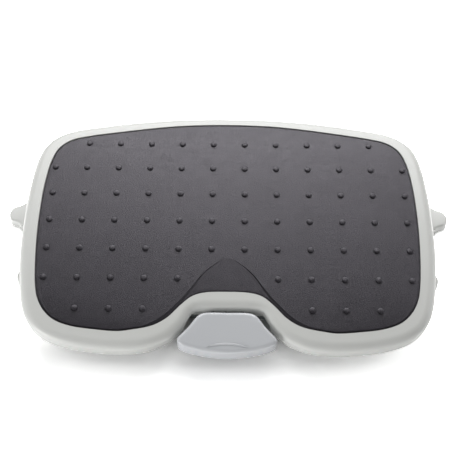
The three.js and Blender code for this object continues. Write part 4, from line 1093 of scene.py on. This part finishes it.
class FOOTREST_OT_base_sides(bpy.types.Operator):
    """Moulds the two base sides with their foot lobes, ribs, seats and axle lugs"""

    bl_idname = "footrest.base_sides"
    bl_label = "Base sides"

    def execute(self, context):
        for word, side in SIDES.items():
            self.make(word, side)
        return {"FINISHED"}

    def make(self, word, side):
        node = "base_side_" + word
        top = millimetres(sizes().rail_height)
        rear = span(node)[1].y
        under = top - BASE_WALL / 2
        seats = {k: middle(f"floor_pad_{word}_{k}") for k in ("nose", "front", "rear", "tail")}
        outline = self.outline(side, rear, seats["front"], seats["rear"])
        rings = [(0.4, flat(BASE_LIFT)), (0, flat(BASE_LIFT + 0.4))]
        rings += quarter_roll(3, 3, 5, 0, flat(top))
        body = closed_form(outline, rings)
        hollow = closed_form(
            outline, [(BASE_WALL, flat(-5)), (BASE_WALL, flat(top - BASE_WALL))])
        x0, x1 = sorted((side * (BASE_INNER - BEYOND), side * BASE_INNER))
        open_side = block((x0, BASE_FRONT - BEYOND, -5), (x1, rear + BEYOND, 30))
        lugs, caps = self.lugs(side, top)
        body = combined(combined(body, [open_side, hollow]), lugs, "UNION")
        body = combined(body, caps)
        ribs = []
        count = int((rear - BASE_FRONT) // RIB_PITCH)
        for k in range(1, count + 1):
            y = BASE_FRONT + (rear - BASE_FRONT) * k / (count + 1)
            reach = max(p.x * side for p in outline if abs(p.y - y) < 4) - BASE_WALL / 2
            x0, x1 = sorted((side * (BASE_INNER + BASE_WALL / 2), side * reach))
            ribs.append(block((x0, y - RIB_HALF, BASE_LIFT + 0.3), (x1, y + RIB_HALF, under)))
        rim, floor = BASE_LIFT + 0.2, BASE_LIFT + 0.2 + SEAT_DEPTH
        profile = [(0, under), (SEAT_OUTER, under), (SEAT_OUTER, rim), (SEAT_INNER, rim),
                   (SEAT_INNER, floor), (0, floor)]
        ribs += [turned(profile, (at.x, at.y, 0), segments=40) for at in seats.values()]
        stand_for(node, added(body, *ribs))

    def outline(self, side, rear, front_foot, rear_foot):
        """A straight rail, with a round lobe for each of its two outer feet."""

        def lobe(centre):
            return [(abs(centre.x) + LOBE_RADIUS * math.cos(math.radians(a)),
                     centre.y + LOBE_RADIUS * math.sin(math.radians(a))) for a in LOBE_ANGLES]

        inner, outer, front, corner = BASE_INNER, BASE_OUTER, BASE_FRONT, BASE_CORNER
        half = [(inner, rear - corner), (inner, rear - 2 * corner), (inner, front + 2 * corner),
                (inner, front + corner), (inner + corner, front), (outer - corner, front),
                (outer, front + corner), (outer + 3, (front + front_foot.y - LOBE_RADIUS) / 2)]
        half += lobe(front_foot) + [(BASE_WAIST, (front_foot.y + rear_foot.y) / 2)]
        half += lobe(rear_foot) + [(outer + 3, (rear + rear_foot.y + LOBE_RADIUS) / 2)]
        half += [(outer, rear - corner), (outer - corner, rear), (inner + corner, rear)]
        return flowing([(side * x, y) for x, y in half], 260)

    def lugs(self, side, top):
        """The lugs of the two axles, and the room for the axles' caps."""
        lugs, caps = [], []
        seat = BASE_INNER + LUG_DEPTH
        for axle in ("lift_axle", "guide_axle"):
            at, centre = middle(axle), on_axis(axle)
            x0, x1 = sorted((side * BASE_INNER, side * seat))
            cap = sorted((side * seat, side * (seat + CAP_DEPTH)))
            caps.append(turned(chamfered(CAP_RADIUS, *cap, 0.2), centre, "X", 40))
            lugs.append(turned(chamfered(LUG_RADIUS, x0, x1, 0.8), centre, "X", 48))
            foot = block((x0, at.y - LUG_FOOT, top - 3.2), (x1, at.y + LUG_FOOT, at.z + 0.3))
            for vert in foot.verts:
                if vert.co.z > at.z:
                    vert.co.y = at.y + (LUG_TOP if vert.co.y > at.y else -LUG_TOP)
            lugs.append(foot)
        return lugs, caps


class FOOTREST_OT_floor_pads(bpy.types.Operator):
    """Moulds the round rubber floor pads, each with a ring groove in its tread"""

    bl_idname = "footrest.floor_pads"
    bl_label = "Floor pads"

    def execute(self, context):
        for node in frame["nodes"]:
            if node.startswith("floor_pad_"):
                low, high = span(node)
                centre, radius = (low + high) / 2, (high.x - low.x) / 2
                profile = TREAD + [
                    (radius - 0.9, 0), (radius - 0.3, 0.25), (radius, 0.9), (radius, high.z),
                    (0, high.z)]
                stand_for(node, turned(profile, (centre.x, centre.y, 0), segments=40))
        return {"FINISHED"}


class FOOTREST_OT_turned_parts(bpy.types.Operator):
    """Turns the shafts, axles, pins, bushes, collars and caps"""

    bl_idname = "footrest.turned_parts"
    bl_label = "Turned parts"

    def execute(self, context):
        for node in ("tilt_shaft", "upper_rod"):
            self.bar(node, 0.8)
        for node in ("pedal_pin", "crank_pin"):
            self.bar(node, 0.4, platform_place())
        for node in ("lift_axle", "guide_axle"):
            low, high = span(node)
            self.tube(node, [(low.x, high.x, (high.z - low.z) / 2, AXLE_BORE)])
        for node in frame["nodes"]:
            low, high = span(node)
            outward = high.x > 0
            if "_bush_" in node:
                width, end = BUSH_FLANGE_WIDTH, BUSH_FLANGE_WIDTH - BUSH_OVERLAP
                rim = (high.x - width, high.x) if outward else (low.x, low.x + width)
                sleeve = (low.x, high.x - end) if outward else (low.x + end, high.x)
                self.tube(node, [(*rim, BUSH_FLANGE, SHAFT_BORE),
                                 (*sleeve, BUSH_RADIUS, SHAFT_BORE)])
            elif node.startswith("spring_collar"):
                self.tube(node, [(low.x, high.x, COLLAR_RADIUS, SHAFT_BORE)])
            elif "_axle_cap_" in node:
                width = AXLE_CAP_HEAD
                face = (high.x - width, high.x) if outward else (low.x, low.x + width)
                centre = on_axis(node)
                head = turned(chamfered(AXLE_CAP_RADIUS, *face, 0.7), centre, "X")
                profile = chamfered(AXLE_CAP_STEM, low.x + 0.1, high.x - 0.1, 0.3)
                stand_for(node, added(head, turned(profile, centre, "X", 24)))
        return {"FINISHED"}

    def bar(self, node, edge, place=None):
        """A round bar as long and as thick as its node, with broken edges."""
        low, high = span(node, place)
        profile = chamfered((high.z - low.z) / 2, low.x, high.x, edge)
        stand_for(node, turned(profile, on_axis(node, place), "X"), place)

    def tube(self, node, stages):
        """A bored bar in stages, each with its ends, its radius and its bore."""
        parts = []
        for x0, x1, radius, bore in stages:
            face = radius - TUBE_EDGE
            profile = [(bore, x0), (face, x0), (radius, x0 + TUBE_EDGE),
                       (radius, x1 - TUBE_EDGE), (face, x1), (bore, x1), (bore, x0)]
            parts.append(turned(profile, on_axis(node), "X"))
        stand_for(node, added(*parts))


class FOOTREST_OT_steel_plates(bpy.types.Operator):
    """Finishes the arms, links, brackets, yoke, sectors and tie strip with rounded edges"""

    bl_idname = "footrest.steel_plates"
    bl_label = "Arms, links and brackets"

    def execute(self, context):
        kinds = ("lift_arm_", "guide_arm_", "carrier_link_", "hinge_bracket_")
        plates = [n for n in frame["nodes"] if n.startswith(kinds)]
        for node in plates + ["pedal_yoke", "lift_sector", "tilt_sector", "tie_strip", "pull_link"]:
            stand_for(node, broken_edges(node))
        return {"FINISHED"}


class FOOTREST_OT_brake(bpy.types.Operator):
    """Finishes the brake's housing, shoe and linings with rounded edges"""

    bl_idname = "footrest.brake"
    bl_label = "Brake"

    def execute(self, context):
        for node in ("brake_guide", "brake_shoe", "lift_lining", "tilt_lining"):
            stand_for(node, broken_edges(node))
        return {"FINISHED"}


class FOOTREST_OT_screws(bpy.types.Operator):
    """Turns the pan head screws, with a hex socket in each head"""

    bl_idname = "footrest.screws"
    bl_label = "Screws"

    def execute(self, context):
        place = platform_place()
        for node in frame["nodes"]:
            if "_screw_" in node:
                low, high = span(node, place)
                x, y = (low.x + high.x) / 2, (low.y + high.y) / 2
                profile = [(radius, low.z + height) for radius, height in PAN_HEAD]
                profile += [(SHANK, high.z - SHANK_TAPER), (SHANK_TIP, high.z), (0, high.z)]
                body = turned(profile, (x, y, 0), segments=32)
                socket = bmesh.new()
                bmesh.ops.create_cone(
                    socket, cap_ends=True, segments=6, radius1=SOCKET, radius2=SOCKET,
                    depth=SOCKET_DEPTH)
                bmesh.ops.translate(socket, vec=(x, y, low.z), verts=socket.verts)
                stand_for(node, combined(body, [socket]), place)
        return {"FINISHED"}


class FOOTREST_OT_springs(bpy.types.Operator):
    """Winds the assist, brake and pedal springs"""

    bl_idname = "footrest.springs"
    bl_label = "Springs"

    def execute(self, context):
        for word, side in SIDES.items():
            self.assist(word, side)
            self.brake_spring("brake_spring_" + word)
        self.pedal_spring("pedal_return_spring")
        return {"FINISHED"}

    def brake_spring(self, node):
        """A coil that the shoe presses together as the pedal goes down."""
        place = platform_place()
        low, high = span(node, place)
        centre = (low + high) / 2
        wire = BRAKE_WIRE
        coil = self.coil(
            wire, (high.x - low.x) / 2 - wire, high.y - low.y - 2 * wire, BRAKE_TURNS,
            Matrix.Translation((centre.x, high.y - wire, centre.z))
            @ Matrix.Rotation(QUARTER, 4, "X"))
        slot = slot_of(node)
        spring = piece(node + "_fine", coil, None, [finish(slot)], [node], place, 60)
        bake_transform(spring)

    def pedal_spring(self, node):
        """A coil round the pedal's pin, with a leg that reaches forward and up."""
        place = platform_place()
        low, high = span(node, place)
        pivot = middle("pedal_pin", place)
        wire = RETURN_WIRE
        turn = Matrix.Rotation(QUARTER, 4, "Y") @ Matrix.Rotation(QUARTER, 4, "Z")
        start = Matrix.Translation((low.x + wire, pivot.y, pivot.z))
        coil = self.coil(wire, RETURN_RADIUS, RETURN_LENGTH, RETURN_TURNS, start @ turn)
        leg = self.rod(
            wire, (low.x + 6.6, pivot.y - RETURN_RADIUS, pivot.z),
            (high.x - wire, low.y + wire, high.z - wire))
        stand_for(node, added(coil, leg), place, 60)

    def coil(self, wire, radius, length, turns, place):
        """A closed round wire, spun round Z from its start at zero height, then placed."""
        bm = bmesh.new()
        bmesh.ops.create_circle(bm, cap_ends=True, segments=10, radius=wire)
        bmesh.ops.rotate(
            bm, verts=bm.verts, cent=(0, 0, 0), matrix=Matrix.Rotation(QUARTER, 3, "X"))
        bmesh.ops.translate(bm, vec=(radius, 0, 0), verts=bm.verts)
        steps = turns * COIL_STEPS
        bmesh.ops.spin(
            bm, geom=bm.verts[:] + bm.edges[:] + bm.faces[:], cent=(0, 0, 0), axis=(0, 0, 1),
            dvec=(0, 0, length / steps), angle=math.tau * turns, steps=steps, use_merge=False)
        bmesh.ops.transform(bm, matrix=place, verts=bm.verts)
        bmesh.ops.recalc_face_normals(bm, faces=bm.faces)
        return bm

    def rod(self, wire, start, end):
        """A straight round wire between two points."""
        start, end = Vector(start), Vector(end)
        bm = bmesh.new()
        bmesh.ops.create_cone(
            bm, cap_ends=True, segments=12, radius1=wire, radius2=wire,
            depth=(end - start).length)
        turn = (end - start).to_track_quat("Z", "Y").to_matrix().to_4x4()
        move = Matrix.Translation((start + end) / 2) @ turn
        bmesh.ops.transform(bm, matrix=move, verts=bm.verts)
        return bm

    def assist(self, word, side):
        """A coil round the lift axle, with a leg along the arm and a foot under it."""
        node = "assist_spring_" + word
        low, high = span(node)
        axle, shaft = middle("lift_axle"), middle("tilt_shaft")
        along = Vector((0, shaft.y - axle.y, shaft.z - axle.z)).normalized()
        down = Vector((0, along.z, -along.y))
        wire, length = ASSIST_WIRE, ASSIST_LENGTH
        turn = Matrix.Rotation(side * QUARTER, 4, "Y")
        lean = Matrix.Rotation(-math.atan2(down.y, -down.z), 4, "X")
        place = Matrix.Translation((side * ASSIST_START, axle.y, axle.z)) @ lean @ turn
        coil = self.coil(wire, ASSIST_RADIUS, length, ASSIST_TURNS, place)
        end_x = side * (ASSIST_START + length)
        at = Vector((end_x, axle.y, axle.z)) + down * (ARM_HALF + ARM_GAP + wire)
        knee = at + along * ASSIST_LEG + Vector((side * ASSIST_SPLAY, 0, 0))
        tip = Vector((side * (max(abs(low.x), abs(high.x)) - 0.1), knee.y, knee.z))
        legs = [self.rod(wire, at, knee), self.rod(wire, knee, tip)]
        stand_for(node, added(coil, *legs), None, 60)


# The camera: focal length in picture widths, place in metres, turns in degrees
FOCAL_WIDTHS = 1075 / 456
SENSOR = 36
CAMERA_PLACE = (-0.0003, -0.8675, 1.075)
CAMERA_PITCH = 40.5
CAMERA_ROLL = 0.66

# The lamps: name, place and size in metres, power in watts, and whether flags keep its light
# on the pale mouldings
LAMPS = (
    ("back_softbox", (0, 1.08, 0.97), (1.6, 0.65), 21, False),
    ("high_softbox", (0, 0.65, 1.25), (1.6, 0.5), 4.6, False),
    ("front_fill", (0, -1.3, 0.8), (2.0, 0.4), 1.5, False),
    ("left_side", (-1.3, 0.1, 0.6), (0.8, 0.8), 2.5, False),
    ("right_side", (1.3, 0.1, 0.6), (0.8, 0.8), 4.5, False),
    ("front_strip", (0, -1.6, 0.2), (2.4, 0.3), 6, True),
    ("left_strip", (-1.2, -1.0, 0.2), (0.9, 0.3), 13, True),
)
LAMP_TARGET = (0, 0, 0.05)
FLAGGED = ("platform_shell", "pedal", "base_side_left", "base_side_right")

# The surroundings, seen and as light
WHITE = (1, 1, 1, 1)
SOFT_STRENGTH = 0.18

# The floor: how far it reaches, what it reflects more where it is seen, and, in metres, the
# half size of the place under the object where the floor is left darker as painted shade, the
# fade round it, and where the sweep starts to turn white and is white
FLOOR_REACH = 12
FLOOR_LIFT = 2.3
PAINTED_SHADE_HALF = (0.19, 0.11, 0)
PAINTED_SHADE_FADE = 0.04
SWEEP_START, SWEEP_END = 0.5, 1.6


def seen(tree):
    """One where a camera, gloss or glass ray meets the surface, and nothing for soft light."""
    path = add_node(tree, "ShaderNodeLightPath")
    first = add_node(
        tree, "ShaderNodeMath", {"operation": "MAXIMUM"},
        {0: path.outputs["Is Camera Ray"], 1: path.outputs["Is Glossy Ray"]})
    return add_node(
        tree, "ShaderNodeMath", {"operation": "MAXIMUM"},
        {0: first, 1: path.outputs["Is Transmission Ray"]})


def vinyl_sweep(tree, place):
    """White vinyl sweep: a matt floor that reads white where the eye or a mirror meets it, except
    under the object, where it is left darker as painted shade.
    """
    matt = add_node(tree, "ShaderNodeBsdfDiffuse", {"Color": linear("f4f4f4"), "Roughness": 0.3})
    lift = add_node(tree, "ShaderNodeBsdfDiffuse", {"Color": grey(FLOOR_LIFT)})
    bright = add_node(tree, "ShaderNodeAddShader", None, {0: matt, 1: lift})
    # the lift ends at the object, so that the floor under it is left darker: painted shade under
    # the object
    side = add_node(tree, "ShaderNodeVectorMath", {"operation": "ABSOLUTE"}, {0: place})
    past = add_node(tree, "ShaderNodeVectorMath", {"operation": "SUBTRACT", 1: PAINTED_SHADE_HALF}, {0: side})
    only = add_node(
        tree, "ShaderNodeVectorMath", {"operation": "MAXIMUM", 1: (0, 0, 0)}, {0: past})
    far = add_node(
        tree, "ShaderNodeVectorMath", {"operation": "LENGTH"}, {0: only}).outputs["Value"]
    fade = add_node(
        tree, "ShaderNodeMapRange", {"interpolation_type": "SMOOTHSTEP", "From Max": PAINTED_SHADE_FADE},
        {"Value": far})
    share = add_node(
        tree, "ShaderNodeMath", {"operation": "MULTIPLY"}, {0: seen(tree), 1: fade})
    near = add_node(tree, "ShaderNodeMixShader", None, {0: share, 1: matt, 2: bright})
    # far out, where the lamps don't reach, the sweep runs into the white of the backdrop
    beyond = add_node(
        tree, "ShaderNodeMapRange",
        {"interpolation_type": "SMOOTHSTEP", "From Min": SWEEP_START, "From Max": SWEEP_END},
        {"Value": far})
    reach = add_node(
        tree, "ShaderNodeMath", {"operation": "MULTIPLY"}, {0: seen(tree), 1: beyond})
    glow = add_node(tree, "ShaderNodeEmission", {"Color": WHITE})
    return add_node(tree, "ShaderNodeMixShader", None, {0: reach, 1: near, 2: glow})


class FOOTREST_OT_stage(bpy.types.Operator):
    """Sets the pale floor, the soft studio light and the camera"""

    bl_idname = "footrest.stage"
    bl_label = "Stage"

    def execute(self, context):
        scene = context.scene
        self.floor(scene)
        self.world(scene)
        for entry in LAMPS:
            self.lamp(scene, *entry)
        camera = bpy.data.cameras.new("photo_camera")
        camera.sensor_width = SENSOR
        camera.lens = FOCAL_WIDTHS * SENSOR
        obj = bpy.data.objects.new("photo_camera", camera)
        scene.collection.objects.link(obj)
        pitch = Matrix.Rotation(math.radians(CAMERA_PITCH), 4, "X")
        roll = Matrix.Rotation(math.radians(CAMERA_ROLL), 4, "Z")
        obj.matrix_world = Matrix.Translation(CAMERA_PLACE) @ pitch @ roll
        scene.camera = obj
        scene.view_settings.view_transform = "Standard"
        return {"FINISHED"}

    def floor(self, scene):
        bm = bmesh.new()
        bmesh.ops.create_grid(bm, x_segments=2, y_segments=2, size=FLOOR_REACH)
        mesh = bpy.data.meshes.new("studio_floor")
        bm.to_mesh(mesh)
        bm.free()
        mesh.materials.append(dressed("white_vinyl_sweep", vinyl_sweep))
        floor = bpy.data.objects.new("studio_floor", mesh)
        scene.collection.objects.link(floor)

    def world(self, scene):
        """White for the camera, and an even, weak light for everything else."""
        world = bpy.data.worlds.new("studio")
        world.use_nodes = True
        tree = world.node_tree
        tree.nodes.clear()
        path = add_node(tree, "ShaderNodeLightPath")
        white = add_node(tree, "ShaderNodeBackground", {"Color": WHITE, "Strength": 1.0})
        soft = add_node(
            tree, "ShaderNodeBackground", {"Color": WHITE, "Strength": SOFT_STRENGTH})
        mix = add_node(
            tree, "ShaderNodeMixShader", None,
            {0: path.outputs["Is Camera Ray"], 1: soft, 2: white})
        add_node(tree, "ShaderNodeOutputWorld", None, {"Surface": mix})
        scene.world = world

    def lamp(self, scene, name, place, size, power, flagged):
        """A flat lamp that faces the object; flags keep a low one's light on the mouldings."""
        light = bpy.data.lights.new(name, "AREA")
        light.shape = "RECTANGLE"
        light.size, light.size_y = size
        light.energy = power
        obj = bpy.data.objects.new(name, light)
        scene.collection.objects.link(obj)
        obj.visible_camera = False
        way = Vector(LAMP_TARGET) - Vector(place)
        obj.matrix_world = (
            Matrix.Translation(place) @ way.to_track_quat("-Z", "Y").to_matrix().to_4x4())
        if flagged:
            lit = bpy.data.collections.new(name + "_lit")
            for node in FLAGGED:
                lit.objects.link(bpy.data.objects[node + "_fine"])
            obj.light_linking.receiver_collection = lit


MAKERS = (
    FOOTREST_OT_platform_shell,
    FOOTREST_OT_foot_pad,
    FOOTREST_OT_pedal,
    FOOTREST_OT_base_sides,
    FOOTREST_OT_floor_pads,
    FOOTREST_OT_turned_parts,
    FOOTREST_OT_steel_plates,
    FOOTREST_OT_brake,
    FOOTREST_OT_screws,
    FOOTREST_OT_springs,
    FOOTREST_OT_stage,
)


class FOOTREST_PT_pieces(bpy.types.Panel):
    """Lists the makers of the footrest's pieces"""

    bl_label = "Footrest"
    bl_idname = "FOOTREST_PT_pieces"
    bl_space_type = "VIEW_3D"
    bl_region_type = "UI"
    bl_category = "Footrest"

    def draw(self, context):
        for maker in MAKERS:
            self.layout.operator(maker.bl_idname)
        for group in (sizes(), colours()):
            for name in group.__annotations__:
                self.layout.prop(group, name)


CLASSES = (FootrestSizes, FootrestColours, *MAKERS, FOOTREST_PT_pieces)


def register():
    for entry in CLASSES:
        bpy.utils.register_class(entry)
    bpy.types.Scene.footrest_sizes = PointerProperty(type=FootrestSizes)
    bpy.types.Scene.footrest_colours = PointerProperty(type=FootrestColours)


def unregister():
    del bpy.types.Scene.footrest_colours
    del bpy.types.Scene.footrest_sizes
    for entry in reversed(CLASSES):
        bpy.utils.unregister_class(entry)


def main():
    register()
    for maker in MAKERS:
        group, name = maker.bl_idname.split(".")
        getattr(getattr(bpy.ops, group), name)()


if __name__ == "__main__":
    main()
